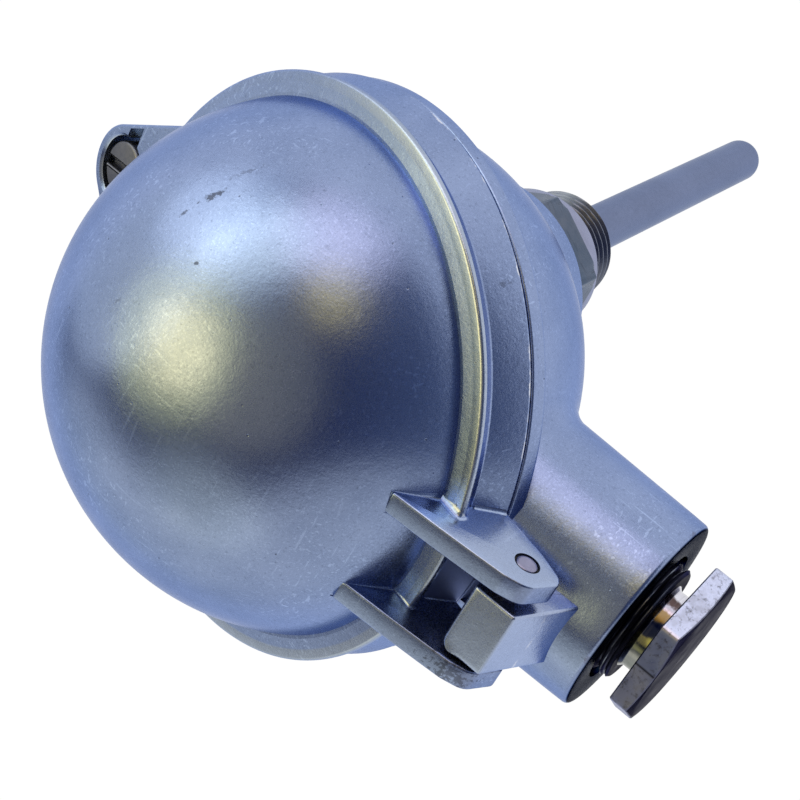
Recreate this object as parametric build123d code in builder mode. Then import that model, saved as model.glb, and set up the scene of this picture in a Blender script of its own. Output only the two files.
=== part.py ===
from build123d import *
import math
import os

os.makedirs("parts", exist_ok=True)

# Sizes in millimetres. The stem axis is Z, and the shoulder of the process thread seats at Z = 0.

# The rim's radius drives the head: bowl, dome, flange, hinge and screw lug keep their steps from it.
RIM_R = 44.35
COLLAR_BOTTOM_Z = 20.0
BOWL_STEP = 5.15
BOWL_DROP = 9.1
BOWL_R = RIM_R - BOWL_STEP
BOWL_Z = COLLAR_BOTTOM_Z + BOWL_DROP + BOWL_R
BOWL_WALL = 3.6

# Parting plane between lid and body: it slopes down from the hinge side to the screw side.
PARTING_TILT = 20.85
PARTING_X = 1.2
PARTING_RISE = 1.7
PARTING_Z = BOWL_Z + PARTING_RISE
PARTING_GAP = 0.5
RIM_FOOT_Z = 0.9

# Dome lid, measured in the parting frame
DOME_STEP = 3.35
DOME_R = RIM_R - DOME_STEP
DOME_CENTRE_Z = 3.0
DOME_WALL = 2.8
BAND_Z = 10.5
BEAD_STEP = 0.15
BEAD_R = RIM_R - BEAD_STEP
BEAD_Z = 10.0
GROOVE_STEP = 1.85
GROOVE_R = RIM_R - GROOVE_STEP
GROOVE_Z = 6.9
RIM_WIDTH = 6.95
RIM_BORE_R = RIM_R - RIM_WIDTH
CAST_FILLET = 0.7

# Hinge, measured in the parting frame
PIN_STEP = 8.05
PIN_X = RIM_R + PIN_STEP
PIN_Z = 4.5
PIN_R = 1.6
PIN_CLEARANCE = 0.06
EAR_INNER_Y = 6.8
EAR_THICKNESS = 3.4
EAR_NOSE_R = 5.0
EAR_REACH = 15.8
EAR_TIP_X = PIN_X - EAR_REACH
EAR_TIP_Z = 18.4
EAR_FOOT_Z = 1.3
KNUCKLE_GAP = 1.1
KNUCKLE_BACK = 4.2
KNUCKLE_FRONT = 4.7
KNUCKLE_TOP_BACK = 1.9
KNUCKLE_TOP_X = PIN_X - KNUCKLE_TOP_BACK
KNUCKLE_TOP_Z = 10.4
KNUCKLE_FALL = 2.5
KNUCKLE_FOOT_Z = -14.0

# Lid screw and its lugs, measured in the parting frame
SCREW_STEP = 4.45
SCREW_X = -(RIM_R + SCREW_STEP)
SCREW_R = 2.5
SCREW_HOLE_CLEARANCE = 0.3
SCREW_HEAD_R = 4.65
SCREW_HEAD_H = 4.6
SCREW_SLOT_W = 1.4
SCREW_SLOT_D = 1.6
SCREW_SLOT_TURN = 13.0
SCREW_REACH = 9.0
SCREW_SWING_SLOT = 1.8
SCREW_BODY_CLEARANCE = 0.7
LUG_R = 7.3
LUG_TOP_Z = 12.6
LUG_ANGLE = 35.0
LUG_SHOULDER_STEP = 5.65
LUG_ROOT_STEP = 8.35
LUG_SETBACK = 0.3
BODY_LUG_DEPTH = 10.5
POCKET_R = 5.55
POCKET_DEPTH = 5.0
NOTCH_START = 2.2
NOTCH_END = 6.6
NOTCH_WALL = 0.67
NOTCH_DEPTH = 2.4
RETAINER_R = 3.5
RETAINER_H = 1.1
RETAINER_CLEARANCE = 0.3

# Head body
FLANGE_STEP = 0.35
FLANGE_R = RIM_R - FLANGE_STEP
FLANGE_H = 2.8
FLANGE_BLEND_H = 4.6
CAVITY_FLOOR_Z = 36.0
CAVITY_R = BOWL_R - BOWL_WALL
COLLAR_R = 20.0
COLLAR_TOP_R = 20.6
COLLAR_CHAMFER = 1.2
COLLAR_BLEND_R = 12.0
GASKET_STEP = 4.2
GASKET_R = FLANGE_R - GASKET_STEP
GASKET_W = 2.6
GASKET_DEPTH = 1.5
GASKET_CLEARANCE = 0.1

# Cable entry boss and plug, along X at the height of the parting centre
BOSS_ROOT_R = 17.2
BOSS_END_R = 16.5
BOSS_LENGTH = 22.8
BOSS_END_X = BOWL_R + BOSS_LENGTH
BOSS_ROUND = 1.6
ENTRY_R = 10.05
ENTRY_REACH_IN = 7.6
ENTRY_RECESS_R = 11.2
ENTRY_RECESS_DEPTH = 1.1
THREAD_CLEARANCE = 0.08
PLUG_OUT = 2.0
PLUG_THREAD_LENGTH = 16.0
PLUG_NECK_R = 6.8
PLUG_NECK_LENGTH = 2.75
PLUG_AF = 24.0
PLUG_HEAD_H = 3.6
PLUG_TURN = 53.0
PLUG_BORE_R = 6.0
PLUG_FLOOR = 3.0

# Process fitting
THREAD_R = 10.478
THREAD_LENGTH = 12.3
THREAD_CHAMFER = 0.9
SHOULDER_R = 13.2
SHOULDER_H = 4.0
HEX_AF = 27.0
SEAL_H = 1.5
SEAL_W = 3.0
NECK_THREAD_R = 12.0
NECK_THREAD_LENGTH = 12.0
NECK_RELIEF = 0.6

# Protection tube and measuring insert
TUBE_R = 4.5
TUBE_WALL = 1.0
TUBE_SEAT_R = 4.2
TUBE_TIP_Z = -104.5
TUBE_TOP_Z = 26.0
WELD_CLEARANCE = 0.02
SHEATH_R = 3.0
SHEATH_WALL = 0.6
PLATE_T = 1.5
PLATE_Z = 42.0
PLATE_CLEARANCE = 3.5
PLATE_R = math.sqrt(CAVITY_R ** 2 - (BOWL_Z - PLATE_Z) ** 2) - PLATE_CLEARANCE
INSERT_SCREW_SPACING = 33.0
INSERT_SCREW_R = 2.0
INSERT_SCREW_HEAD_R = 3.5
INSERT_SCREW_HEAD_H = 2.6
INSERT_SCREW_CLEARANCE = 0.3
INSERT_SCREW_ENGAGE = 5.0
PILLAR_R = 4.2
SPRING_LENGTH = 14.0
SPRING_MEAN_R = 2.95
SPRING_WIRE_R = 0.4
SPRING_TURNS = 6
SPRING_SEAT_GAP = 0.05
INSERT_TRAVEL = 6.0
BUSHING_R = 5.2
BUSHING_H = 2.5
POTTING_H = 2.5
ELEMENT_R = 1.6
ELEMENT_LENGTH = 15.0

# Terminal block
BLOCK_STEP = 1.0
BLOCK_R = PLATE_R - BLOCK_STEP
BLOCK_H = 12.0
BLOCK_BORE_R = 5.6
BLOCK_NOTCH_R = 4.7
TERMINAL_R = 12.0
TERMINAL_ANGLES = (32.0, 148.0, 212.0, 328.0)
CLAMP_L = 6.0
CLAMP_W = 6.4
CLAMP_H = 4.0
TERMINAL_SCREW_R = 2.5
TERMINAL_SCREW_H = 1.6
TERMINAL_SLOT_W = 0.7
WIRE_R = 0.55
WIRE_RING_R = 1.5
WIRE_BEND_R = 2.5

# Earth screw on a pad in the cavity
EARTH_PAD_R = 3.4
EARTH_PAD_TOP_Z = 51.0
EARTH_WALL_GAP = 2.7
EARTH_X = EARTH_WALL_GAP + EARTH_PAD_R - math.sqrt(CAVITY_R ** 2 - (BOWL_Z - EARTH_PAD_TOP_Z) ** 2)
EARTH_SCREW_R = 2.0
EARTH_HEAD_R = 3.3
EARTH_HEAD_H = 2.4
EARTH_WASHER_T = 0.8
EARTH_ENGAGE = 7.0

# Frames
tilt = math.radians(PARTING_TILT)
across = Vector(math.cos(tilt), 0, math.sin(tilt))
normal = Vector(-math.sin(tilt), 0, math.cos(tilt))
parting_centre = Vector(PARTING_X, 0, PARTING_Z)
parting = Plane(origin=parting_centre, x_dir=across, z_dir=normal)
section = Plane(origin=parting_centre, x_dir=across, z_dir=(0, -1, 0))
lid_axis = Axis(parting_centre, normal)
entry_section = Plane(origin=(0, 0, PARTING_Z), x_dir=(1, 0, 0), z_dir=(0, -1, 0))
entry_axis = Axis((0, 0, PARTING_Z), (1, 0, 0))
stem_section = Plane.XZ
stem_axis = Axis.Z


def in_parting(x, y, z):
    """Row position of a point given in the parting frame."""
    return parting_centre + across * x + Vector(0, y, 0) + normal * z


def lug_outline(setback):
    """Plan of a screw lug: where its round end meets a flank, the flank's far end and the root behind it."""
    lean = math.radians(LUG_ANGLE)
    radius = LUG_R - setback
    touch = (SCREW_X - radius * math.sin(lean), radius * math.cos(lean))
    shoulder_x = LUG_SHOULDER_STEP - RIM_R
    shoulder = (shoulder_x, touch[1] + (shoulder_x - touch[0]) * math.tan(lean))
    return touch, shoulder, (LUG_ROOT_STEP - RIM_R, shoulder[1]), (SCREW_X - radius, 0)


def arc_point(radius, centre_z, height):
    """Radius of a circle about (0, centre_z) at one height."""
    return math.sqrt(radius * radius - (height - centre_z) ** 2)


# Shared shapes that several pieces are cut with
lid_inner_r = DOME_R - DOME_WALL
lid_inner_z = DOME_CENTRE_Z + math.sqrt(lid_inner_r ** 2 - RIM_BORE_R ** 2)
with BuildPart() as lid_cavity:
    with BuildSketch(section):
        with BuildLine():
            Line((0, -1), (RIM_BORE_R, -1))
            Line((RIM_BORE_R, -1), (RIM_BORE_R, lid_inner_z))
            ThreePointArc(
                (RIM_BORE_R, lid_inner_z),
                (lid_inner_r * math.sin(math.radians(40)),
                 DOME_CENTRE_Z + lid_inner_r * math.cos(math.radians(40))),
                (0, DOME_CENTRE_Z + lid_inner_r),
            )
            Line((0, DOME_CENTRE_Z + lid_inner_r), (0, -1))
        make_face()
    revolve(axis=lid_axis)

with BuildPart() as bowl_cavity:
    with Locations((0, 0, BOWL_Z)):
        Sphere(CAVITY_R)
    split(bisect_by=Plane.XY.offset(CAVITY_FLOOR_Z), keep=Keep.TOP)

# Dome lid: turned dome, band and rim, with two hinge ears and the pocketed lug
dome_foot_r = arc_point(DOME_R, DOME_CENTRE_Z, BAND_Z)
with BuildPart() as dome_lid:
    with BuildSketch(section) as lid_profile:
        with BuildLine():
            Polyline(
                (0, RIM_FOOT_Z), (RIM_R, RIM_FOOT_Z), (GROOVE_R, GROOVE_Z), (BEAD_R, BEAD_Z - 1.6),
                (BEAD_R, BEAD_Z), (dome_foot_r, BAND_Z),
            )
            ThreePointArc(
                (dome_foot_r, BAND_Z),
                (DOME_R * math.sin(math.radians(40)),
                 DOME_CENTRE_Z + DOME_R * math.cos(math.radians(40))),
                (0, DOME_CENTRE_Z + DOME_R),
            )
            Line((0, DOME_CENTRE_Z + DOME_R), (0, RIM_FOOT_Z))
        make_face()
        bead_corners = lid_profile.vertices().sort_by_distance((BEAD_R, BEAD_Z - 0.8, 0))[:2]
        fillet(bead_corners, CAST_FILLET)
        fillet(lid_profile.vertices().sort_by_distance((RIM_R, RIM_FOOT_Z, 0))[0], CAST_FILLET / 2)
    revolve(axis=lid_axis)
    ear_outer_y = EAR_INNER_Y + EAR_THICKNESS
    ear_middle_y = EAR_INNER_Y + EAR_THICKNESS / 2
    with BuildSketch(section.offset(ear_middle_y), section.offset(-ear_middle_y)):
        with BuildLine():
            lean = math.atan2(EAR_TIP_Z - PIN_Z, PIN_X - EAR_TIP_X)
            reach = math.hypot(EAR_TIP_Z - PIN_Z, PIN_X - EAR_TIP_X)
            touch_angle = math.acos(EAR_NOSE_R / reach)
            back = math.pi - lean
            touch = (PIN_X + EAR_NOSE_R * math.cos(back - touch_angle),
                     PIN_Z + EAR_NOSE_R * math.sin(back - touch_angle))
            under = (PIN_X, PIN_Z - EAR_NOSE_R)
            nose = (PIN_X + EAR_NOSE_R, PIN_Z)
            Line((EAR_TIP_X, EAR_TIP_Z), touch)
            ThreePointArc(touch, nose, under)
            Polyline(
                under, (RIM_R - 1.0, EAR_FOOT_Z), (RIM_BORE_R, EAR_FOOT_Z),
                (RIM_BORE_R - 3.0, EAR_TIP_Z - 3.0), (EAR_TIP_X, EAR_TIP_Z),
            )
        make_face()
    extrude(amount=EAR_THICKNESS / 2, both=True)
    with BuildSketch(parting.offset(RIM_FOOT_Z)):
        touch, shoulder, root, tip = lug_outline(0)
        with BuildLine():
            Polyline(
                touch, shoulder, root, (root[0], -root[1]), (shoulder[0], -shoulder[1]), (touch[0], -touch[1]),
            )
            ThreePointArc((touch[0], -touch[1]), tip, touch)
        make_face()
    extrude(amount=LUG_TOP_Z - RIM_FOOT_Z)
    add(lid_cavity.part, mode=Mode.SUBTRACT)
    with Locations(parting.location * Location((SCREW_X, 0, LUG_TOP_Z))):
        Cylinder(POCKET_R, POCKET_DEPTH, align=(Align.CENTER, Align.CENTER, Align.MAX),
                 mode=Mode.SUBTRACT)
    with Locations(
        parting.location * Location((SCREW_X, 0, LUG_TOP_Z), (0, 0, LUG_ANGLE)) * Location((NOTCH_START, 0, 0))
    ):
        Box(NOTCH_END - NOTCH_START, LUG_R - NOTCH_WALL, NOTCH_DEPTH,
            align=(Align.MIN, Align.MIN, Align.MAX), mode=Mode.SUBTRACT)
    with Locations(parting.location * Location((SCREW_X, 0, LUG_TOP_Z / 2))):
        Cylinder(SCREW_R + SCREW_HOLE_CLEARANCE, LUG_TOP_Z * 2, mode=Mode.SUBTRACT)
    with Locations(parting.location * Location((SCREW_X, 0, RIM_FOOT_Z))):
        Cylinder(RETAINER_R + RETAINER_CLEARANCE, RETAINER_H + 2 * RETAINER_CLEARANCE,
                 align=(Align.CENTER, Align.CENTER, Align.MIN), mode=Mode.SUBTRACT)
    with Locations(Plane(origin=in_parting(PIN_X, 0, PIN_Z), z_dir=(0, 1, 0)).location):
        Cylinder(PIN_R + PIN_CLEARANCE, 2 * ear_outer_y + 2, mode=Mode.SUBTRACT)
dome_lid.part.label = "dome_lid"

# Head body: bowl, flange, collar, entry boss, knuckle and lug, hollow inside
flange_top_z = RIM_FOOT_Z - PARTING_GAP
knuckle_half = EAR_INNER_Y - KNUCKLE_GAP
with BuildPart() as head_body:
    with BuildSketch(stem_section) as bowl_profile:
        with BuildLine():
            meet_z = BOWL_Z - math.sqrt(BOWL_R ** 2 - COLLAR_TOP_R ** 2)
            low = math.radians(45)
            Polyline(
                (0, BOWL_Z + BOWL_R), (0, COLLAR_BOTTOM_Z), (COLLAR_R - COLLAR_CHAMFER, COLLAR_BOTTOM_Z),
                (COLLAR_R, COLLAR_BOTTOM_Z + COLLAR_CHAMFER), (COLLAR_TOP_R, meet_z),
            )
            ThreePointArc(
                (COLLAR_TOP_R, meet_z),
                (BOWL_R * math.sin(low), BOWL_Z - BOWL_R * math.cos(low)),
                (BOWL_R, BOWL_Z),
            )
            ThreePointArc(
                (BOWL_R, BOWL_Z),
                (BOWL_R * math.sin(low), BOWL_Z + BOWL_R * math.cos(low)),
                (0, BOWL_Z + BOWL_R),
            )
        make_face()
        fillet(bowl_profile.vertices().sort_by_distance((COLLAR_TOP_R, meet_z, 0))[0], COLLAR_BLEND_R)
    revolve(axis=stem_axis)
    with BuildSketch(entry_section) as boss_profile:
        with BuildLine():
            Polyline((0, 0), (BOSS_END_X, 0), (BOSS_END_X, BOSS_END_R), (0, BOSS_ROOT_R), (0, 0))
        make_face()
        fillet(boss_profile.vertices().sort_by_distance((BOSS_END_X, BOSS_END_R, 0))[0], BOSS_ROUND)
    revolve(axis=entry_axis)
    with Locations(parting.location * Location((0, 0, flange_top_z))):
        Cylinder(RIM_R + 1.2, 80, align=(Align.CENTER, Align.CENTER, Align.MIN),
                 mode=Mode.SUBTRACT)
    with BuildSketch(section):
        with BuildLine():
            Polyline(
                (BOWL_R - 8, flange_top_z), (FLANGE_R, flange_top_z),
                (FLANGE_R, flange_top_z - FLANGE_H),
                (BOWL_R - 1.0, flange_top_z - FLANGE_H - FLANGE_BLEND_H),
                (BOWL_R - 8, flange_top_z - FLANGE_H - FLANGE_BLEND_H),
                (BOWL_R - 8, flange_top_z),
            )
        make_face()
    revolve(axis=lid_axis)
    with BuildSketch(section):
        with BuildLine():
            inner_x = PIN_X - KNUCKLE_BACK
            outer_x = PIN_X + KNUCKLE_FRONT
            Polyline(
                (inner_x, KNUCKLE_FOOT_Z), (inner_x, PIN_Z), (KNUCKLE_TOP_X, KNUCKLE_TOP_Z),
                (outer_x, KNUCKLE_TOP_Z - KNUCKLE_FALL), (outer_x, KNUCKLE_FOOT_Z),
                (inner_x, KNUCKLE_FOOT_Z),
            )
        make_face()
    extrude(amount=knuckle_half, both=True)
    with BuildSketch(parting.offset(flange_top_z)):
        touch, shoulder, root, tip = lug_outline(LUG_SETBACK)
        with BuildLine():
            Polyline(
                touch, shoulder, root, (root[0], -root[1]), (shoulder[0], -shoulder[1]), (touch[0], -touch[1]),
            )
            ThreePointArc((touch[0], -touch[1]), tip, touch)
        make_face()
    extrude(amount=-BODY_LUG_DEPTH)
    add(bowl_cavity.part, mode=Mode.SUBTRACT)
    with Locations((0, INSERT_SCREW_SPACING / 2, PLATE_Z), (0, -INSERT_SCREW_SPACING / 2, PLATE_Z)):
        Cylinder(PILLAR_R, PLATE_Z - CAVITY_FLOOR_Z + 4, align=(Align.CENTER, Align.CENTER, Align.MAX))
    with Locations((EARTH_X, 0, EARTH_PAD_TOP_Z)):
        Cylinder(EARTH_PAD_R, 14, align=(Align.CENTER, Align.CENTER, Align.MAX))
    with BuildSketch(section):
        with Locations((GASKET_R, flange_top_z - GASKET_DEPTH / 2)):
            Rectangle(GASKET_W, GASKET_DEPTH)
    revolve(axis=lid_axis, mode=Mode.SUBTRACT)
    with BuildSketch(parting.offset(flange_top_z)):
        with Locations((SCREW_X - SCREW_SWING_SLOT / 2 + 0.2, 0)):
            SlotCenterToCenter(SCREW_SWING_SLOT, 2 * (SCREW_R + SCREW_BODY_CLEARANCE))
    extrude(amount=-BODY_LUG_DEPTH - 2, mode=Mode.SUBTRACT)
    with Locations(Plane(origin=in_parting(PIN_X, 0, PIN_Z), z_dir=(0, 1, 0)).location):
        Cylinder(PIN_R + PIN_CLEARANCE, 2 * knuckle_half + 2, mode=Mode.SUBTRACT)
    with Locations((0, 0, COLLAR_BOTTOM_Z)):
        Cylinder(NECK_THREAD_R + THREAD_CLEARANCE, NECK_THREAD_LENGTH + NECK_RELIEF,
                 align=(Align.CENTER, Align.CENTER, Align.MIN), mode=Mode.SUBTRACT)
        Cylinder(NECK_THREAD_R - 3, CAVITY_FLOOR_Z, align=(Align.CENTER, Align.CENTER, Align.MIN),
                 mode=Mode.SUBTRACT)
    with BuildSketch(entry_section):
        entry_start_x = CAVITY_R - ENTRY_REACH_IN
        with BuildLine():
            Polyline(
                (entry_start_x, 0), (entry_start_x, ENTRY_R), (BOSS_END_X - ENTRY_RECESS_DEPTH, ENTRY_R),
                (BOSS_END_X - ENTRY_RECESS_DEPTH, ENTRY_RECESS_R), (BOSS_END_X + 1, ENTRY_RECESS_R),
                (BOSS_END_X + 1, 0), (entry_start_x, 0),
            )
        make_face()
    revolve(axis=entry_axis, mode=Mode.SUBTRACT)
    with Locations((0, INSERT_SCREW_SPACING / 2, PLATE_Z), (0, -INSERT_SCREW_SPACING / 2, PLATE_Z)):
        Cylinder(INSERT_SCREW_R + THREAD_CLEARANCE, 2 * INSERT_SCREW_ENGAGE + 0.6, mode=Mode.SUBTRACT)
    with Locations((EARTH_X, 0, EARTH_PAD_TOP_Z)):
        Cylinder(EARTH_SCREW_R + THREAD_CLEARANCE, 2 * EARTH_ENGAGE + 0.6, mode=Mode.SUBTRACT)
head_body.part.label = "head_body"

# Lid gasket: a square rubber cord ring in the flange's groove
with BuildPart() as lid_gasket:
    with BuildSketch(section):
        with Locations((GASKET_R, flange_top_z - GASKET_DEPTH / 2 + GASKET_CLEARANCE)):
            Rectangle(GASKET_W - 2 * GASKET_CLEARANCE, GASKET_DEPTH)
    revolve(axis=lid_axis)
lid_gasket.part.label = "lid_gasket"

# Hinge pin, flush with the outer faces of the ears
with BuildPart() as hinge_pin:
    with Locations(Plane(origin=in_parting(PIN_X, 0, PIN_Z), z_dir=(0, 1, 0)).location):
        Cylinder(PIN_R, 2 * ear_outer_y)
    chamfer(hinge_pin.edges().filter_by(GeomType.CIRCLE), 0.2)
hinge_pin.part.label = "hinge_pin"

# Captive lid screw with a slotted head, and the ring that keeps it in the lid
head_seat_z = LUG_TOP_Z - POCKET_DEPTH
with BuildPart() as lid_screw:
    with BuildSketch(section) as screw_profile:
        with BuildLine():
            top_z = head_seat_z + SCREW_HEAD_H
            edge_x = SCREW_X + SCREW_R
            Polyline(
                (SCREW_X, -SCREW_REACH), (edge_x - 0.6, -SCREW_REACH), (edge_x, -SCREW_REACH + 0.6),
                (edge_x, head_seat_z), (SCREW_X + SCREW_HEAD_R, head_seat_z),
                (SCREW_X + SCREW_HEAD_R, top_z - 0.5), (SCREW_X + SCREW_HEAD_R - 0.5, top_z),
                (SCREW_X, top_z), (SCREW_X, -SCREW_REACH),
            )
        make_face()
    revolve(axis=Axis(in_parting(SCREW_X, 0, 0), normal))
    with Locations(parting.location * Location((SCREW_X, 0, top_z), (0, 0, SCREW_SLOT_TURN))):
        Box(2 * SCREW_HEAD_R + 1, SCREW_SLOT_W, 2 * SCREW_SLOT_D, mode=Mode.SUBTRACT)
lid_screw.part.label = "lid_screw"

with BuildPart() as screw_retainer:
    with Locations(parting.location * Location((SCREW_X, 0, RIM_FOOT_Z + RETAINER_CLEARANCE))):
        Cylinder(RETAINER_R, RETAINER_H, align=(Align.CENTER, Align.CENTER, Align.MIN))
        Cylinder(SCREW_R, 3 * RETAINER_H, mode=Mode.SUBTRACT)
screw_retainer.part.label = "screw_retainer"

# Entry plug: hexagon head, smooth neck and threaded shank, standing a little way out of the boss
plug_thread_end_x = BOSS_END_X + PLUG_OUT
plug_head_x = plug_thread_end_x + PLUG_NECK_LENGTH
plug_r = ENTRY_R - THREAD_CLEARANCE
with BuildPart() as entry_plug:
    with BuildSketch(entry_section):
        with BuildLine():
            start_x = plug_thread_end_x - PLUG_THREAD_LENGTH
            Polyline(
                (start_x, 0), (start_x, plug_r - 0.8), (start_x + 0.8, plug_r),
                (plug_thread_end_x, plug_r), (plug_thread_end_x, PLUG_NECK_R),
                (plug_head_x + 0.5, PLUG_NECK_R), (plug_head_x + 0.5, 0), (start_x, 0),
            )
        make_face()
    revolve(axis=entry_axis)
    with BuildSketch(Plane(origin=(plug_head_x, 0, PARTING_Z), x_dir=(0, 1, 0), z_dir=(1, 0, 0))):
        RegularPolygon(PLUG_AF / 2, 6, major_radius=False, rotation=PLUG_TURN)
    extrude(amount=PLUG_HEAD_H)
    with BuildSketch(entry_section):
        corner_r = PLUG_AF / math.sqrt(3)
        with BuildLine():
            Polyline(
                (plug_head_x - 1, 0), (plug_head_x - 1, corner_r + 1),
                (plug_head_x + PLUG_HEAD_H - 1.2, corner_r + 1),
                (plug_head_x + PLUG_HEAD_H - 1.2, corner_r - 0.1),
                (plug_head_x + PLUG_HEAD_H, PLUG_AF / 2 - 0.5), (plug_head_x + PLUG_HEAD_H, 0),
                (plug_head_x - 1, 0),
            )
        make_face()
        with BuildLine():
            Polyline(
                (0, 0), (0, corner_r + 1), (plug_head_x - 1, corner_r + 1), (plug_head_x - 1, 0), (0, 0),
            )
        make_face()
    revolve(axis=entry_axis, mode=Mode.INTERSECT)
    with Locations(Plane(origin=(start_x, 0, PARTING_Z), z_dir=(1, 0, 0)).location):
        Cylinder(PLUG_BORE_R, PLUG_THREAD_LENGTH - PLUG_FLOOR,
                 align=(Align.CENTER, Align.CENTER, Align.MIN), mode=Mode.SUBTRACT)
entry_plug.part.label = "entry_plug"

# Process fitting: male thread, round shoulder, hexagon and upper thread
hex_top_z = COLLAR_BOTTOM_Z - SEAL_H
with BuildPart() as process_fitting:
    with BuildSketch(stem_section):
        with BuildLine():
            Polyline(
                (0, -THREAD_LENGTH), (THREAD_R - THREAD_CHAMFER, -THREAD_LENGTH),
                (THREAD_R, -THREAD_LENGTH + THREAD_CHAMFER), (THREAD_R, 0), (SHOULDER_R - 0.4, 0),
                (SHOULDER_R, 0.4), (SHOULDER_R, SHOULDER_H), (0, SHOULDER_H), (0, -THREAD_LENGTH),
            )
        make_face()
    revolve(axis=stem_axis)
    with BuildSketch(Plane.XY.offset(SHOULDER_H)):
        RegularPolygon(HEX_AF / 2, 6, major_radius=False, rotation=30)
    extrude(amount=hex_top_z - SHOULDER_H)
    with BuildSketch(stem_section):
        hex_corner = HEX_AF / math.sqrt(3)
        with BuildLine():
            Polyline(
                (0, -THREAD_LENGTH - 1), (hex_corner - 1.3, -THREAD_LENGTH - 1),
                (hex_corner - 1.3, SHOULDER_H), (hex_corner, SHOULDER_H + 1.0),
                (hex_corner, hex_top_z - 0.8), (hex_corner - 1.3, hex_top_z), (0, hex_top_z),
                (0, -THREAD_LENGTH - 1),
            )
        make_face()
    revolve(axis=stem_axis, mode=Mode.INTERSECT)
    with Locations((0, 0, hex_top_z)):
        Cylinder(NECK_THREAD_R, SEAL_H + NECK_THREAD_LENGTH,
                 align=(Align.CENTER, Align.CENTER, Align.MIN))
    with Locations((0, 0, -THREAD_LENGTH)):
        Cylinder(TUBE_SEAT_R + WELD_CLEARANCE, 80, align=(Align.CENTER, Align.CENTER, Align.MIN),
                 mode=Mode.SUBTRACT)
process_fitting.part.label = "process_fitting"

with BuildPart() as fitting_seal:
    with Locations((0, 0, hex_top_z)):
        Cylinder(NECK_THREAD_R + SEAL_W, SEAL_H, align=(Align.CENTER, Align.CENTER, Align.MIN))
        Cylinder(NECK_THREAD_R + THREAD_CLEARANCE, 3 * SEAL_H, mode=Mode.SUBTRACT)
fitting_seal.part.label = "fitting_seal"

# Protection tube with a round closed tip, turned down where it sits in the fitting
with BuildPart() as protection_tube:
    with BuildSketch(stem_section):
        with BuildLine():
            tip_centre = TUBE_TIP_Z + TUBE_R
            slant = TUBE_R * math.sin(math.radians(45))
            ThreePointArc((0, TUBE_TIP_Z), (slant, tip_centre - slant), (TUBE_R, tip_centre))
            seat_z = -THREAD_LENGTH - WELD_CLEARANCE
            Polyline(
                (TUBE_R, tip_centre), (TUBE_R, seat_z), (TUBE_SEAT_R, seat_z), (TUBE_SEAT_R, TUBE_TOP_Z),
                (TUBE_R - TUBE_WALL, TUBE_TOP_Z), (TUBE_R - TUBE_WALL, tip_centre),
            )
            inner_r = TUBE_R - TUBE_WALL
            inner_slant = inner_r * math.sin(math.radians(45))
            ThreePointArc(
                (inner_r, tip_centre),
                (inner_slant, tip_centre - inner_slant),
                (0, tip_centre - inner_r),
            )
            Line((0, tip_centre - inner_r), (0, TUBE_TIP_Z))
        make_face()
    revolve(axis=stem_axis)
protection_tube.part.label = "protection_tube"

# Measuring insert: sheath, bushing, potting, element and plate
plate_top_z = PLATE_Z + PLATE_T
sheath_top_z = plate_top_z + BUSHING_H
with BuildPart() as insert_sheath:
    with BuildSketch(stem_section):
        with BuildLine():
            bore_r = SHEATH_R - SHEATH_WALL
            floor_z = tip_centre
            slant = SHEATH_R * math.sin(math.radians(45))
            ThreePointArc((0, tip_centre - SHEATH_R), (slant, tip_centre - slant), (SHEATH_R, tip_centre))
            Polyline(
                (SHEATH_R, tip_centre), (SHEATH_R, sheath_top_z), (bore_r, sheath_top_z),
                (bore_r, floor_z), (0, floor_z), (0, tip_centre - SHEATH_R),
            )
        make_face()
    revolve(axis=stem_axis)
insert_sheath.part.label = "insert_sheath"

with BuildPart() as rtd_element:
    with Locations((0, 0, floor_z)):
        Cylinder(ELEMENT_R, ELEMENT_LENGTH, align=(Align.CENTER, Align.CENTER, Align.MIN))
rtd_element.part.label = "rtd_element"

with BuildPart() as sheath_potting:
    with Locations((0, 0, sheath_top_z)):
        Cylinder(bore_r, POTTING_H, align=(Align.CENTER, Align.CENTER, Align.MAX))
sheath_potting.part.label = "sheath_potting"

with BuildPart() as sheath_bushing:
    with Locations((0, 0, plate_top_z)):
        Cylinder(BUSHING_R, BUSHING_H, align=(Align.CENTER, Align.CENTER, Align.MIN))
        Cylinder(SHEATH_R + WELD_CLEARANCE, 3 * BUSHING_H, mode=Mode.SUBTRACT)
sheath_bushing.part.label = "sheath_bushing"

with BuildPart() as insert_plate:
    with Locations((0, 0, PLATE_Z)):
        Cylinder(PLATE_R, PLATE_T, align=(Align.CENTER, Align.CENTER, Align.MIN))
        Cylinder(SHEATH_R + WELD_CLEARANCE, 4 * PLATE_T, mode=Mode.SUBTRACT)
    with Locations((0, INSERT_SCREW_SPACING / 2, PLATE_Z), (0, -INSERT_SCREW_SPACING / 2, PLATE_Z)):
        Cylinder(INSERT_SCREW_R + INSERT_SCREW_CLEARANCE, 4 * PLATE_T, mode=Mode.SUBTRACT)
insert_plate.part.label = "insert_plate"

# Terminal block with its clamps, screws and lead wires
block_top_z = plate_top_z + BLOCK_H
with BuildPart() as terminal_block:
    with BuildSketch(Plane.XY.offset(plate_top_z)):
        Circle(BLOCK_R)
        Circle(BLOCK_BORE_R, mode=Mode.SUBTRACT)
        with Locations((0, INSERT_SCREW_SPACING / 2), (0, -INSERT_SCREW_SPACING / 2)):
            Circle(BLOCK_NOTCH_R, mode=Mode.SUBTRACT)
            Rectangle(2 * BLOCK_NOTCH_R * 0.96, 2 * BLOCK_NOTCH_R * 0.6, mode=Mode.SUBTRACT)
    extrude(amount=BLOCK_H)
    chamfer(terminal_block.faces().sort_by(Axis.Z)[-1].outer_wire().edges(), 0.6)
terminal_block.part.label = "terminal_block"

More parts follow.
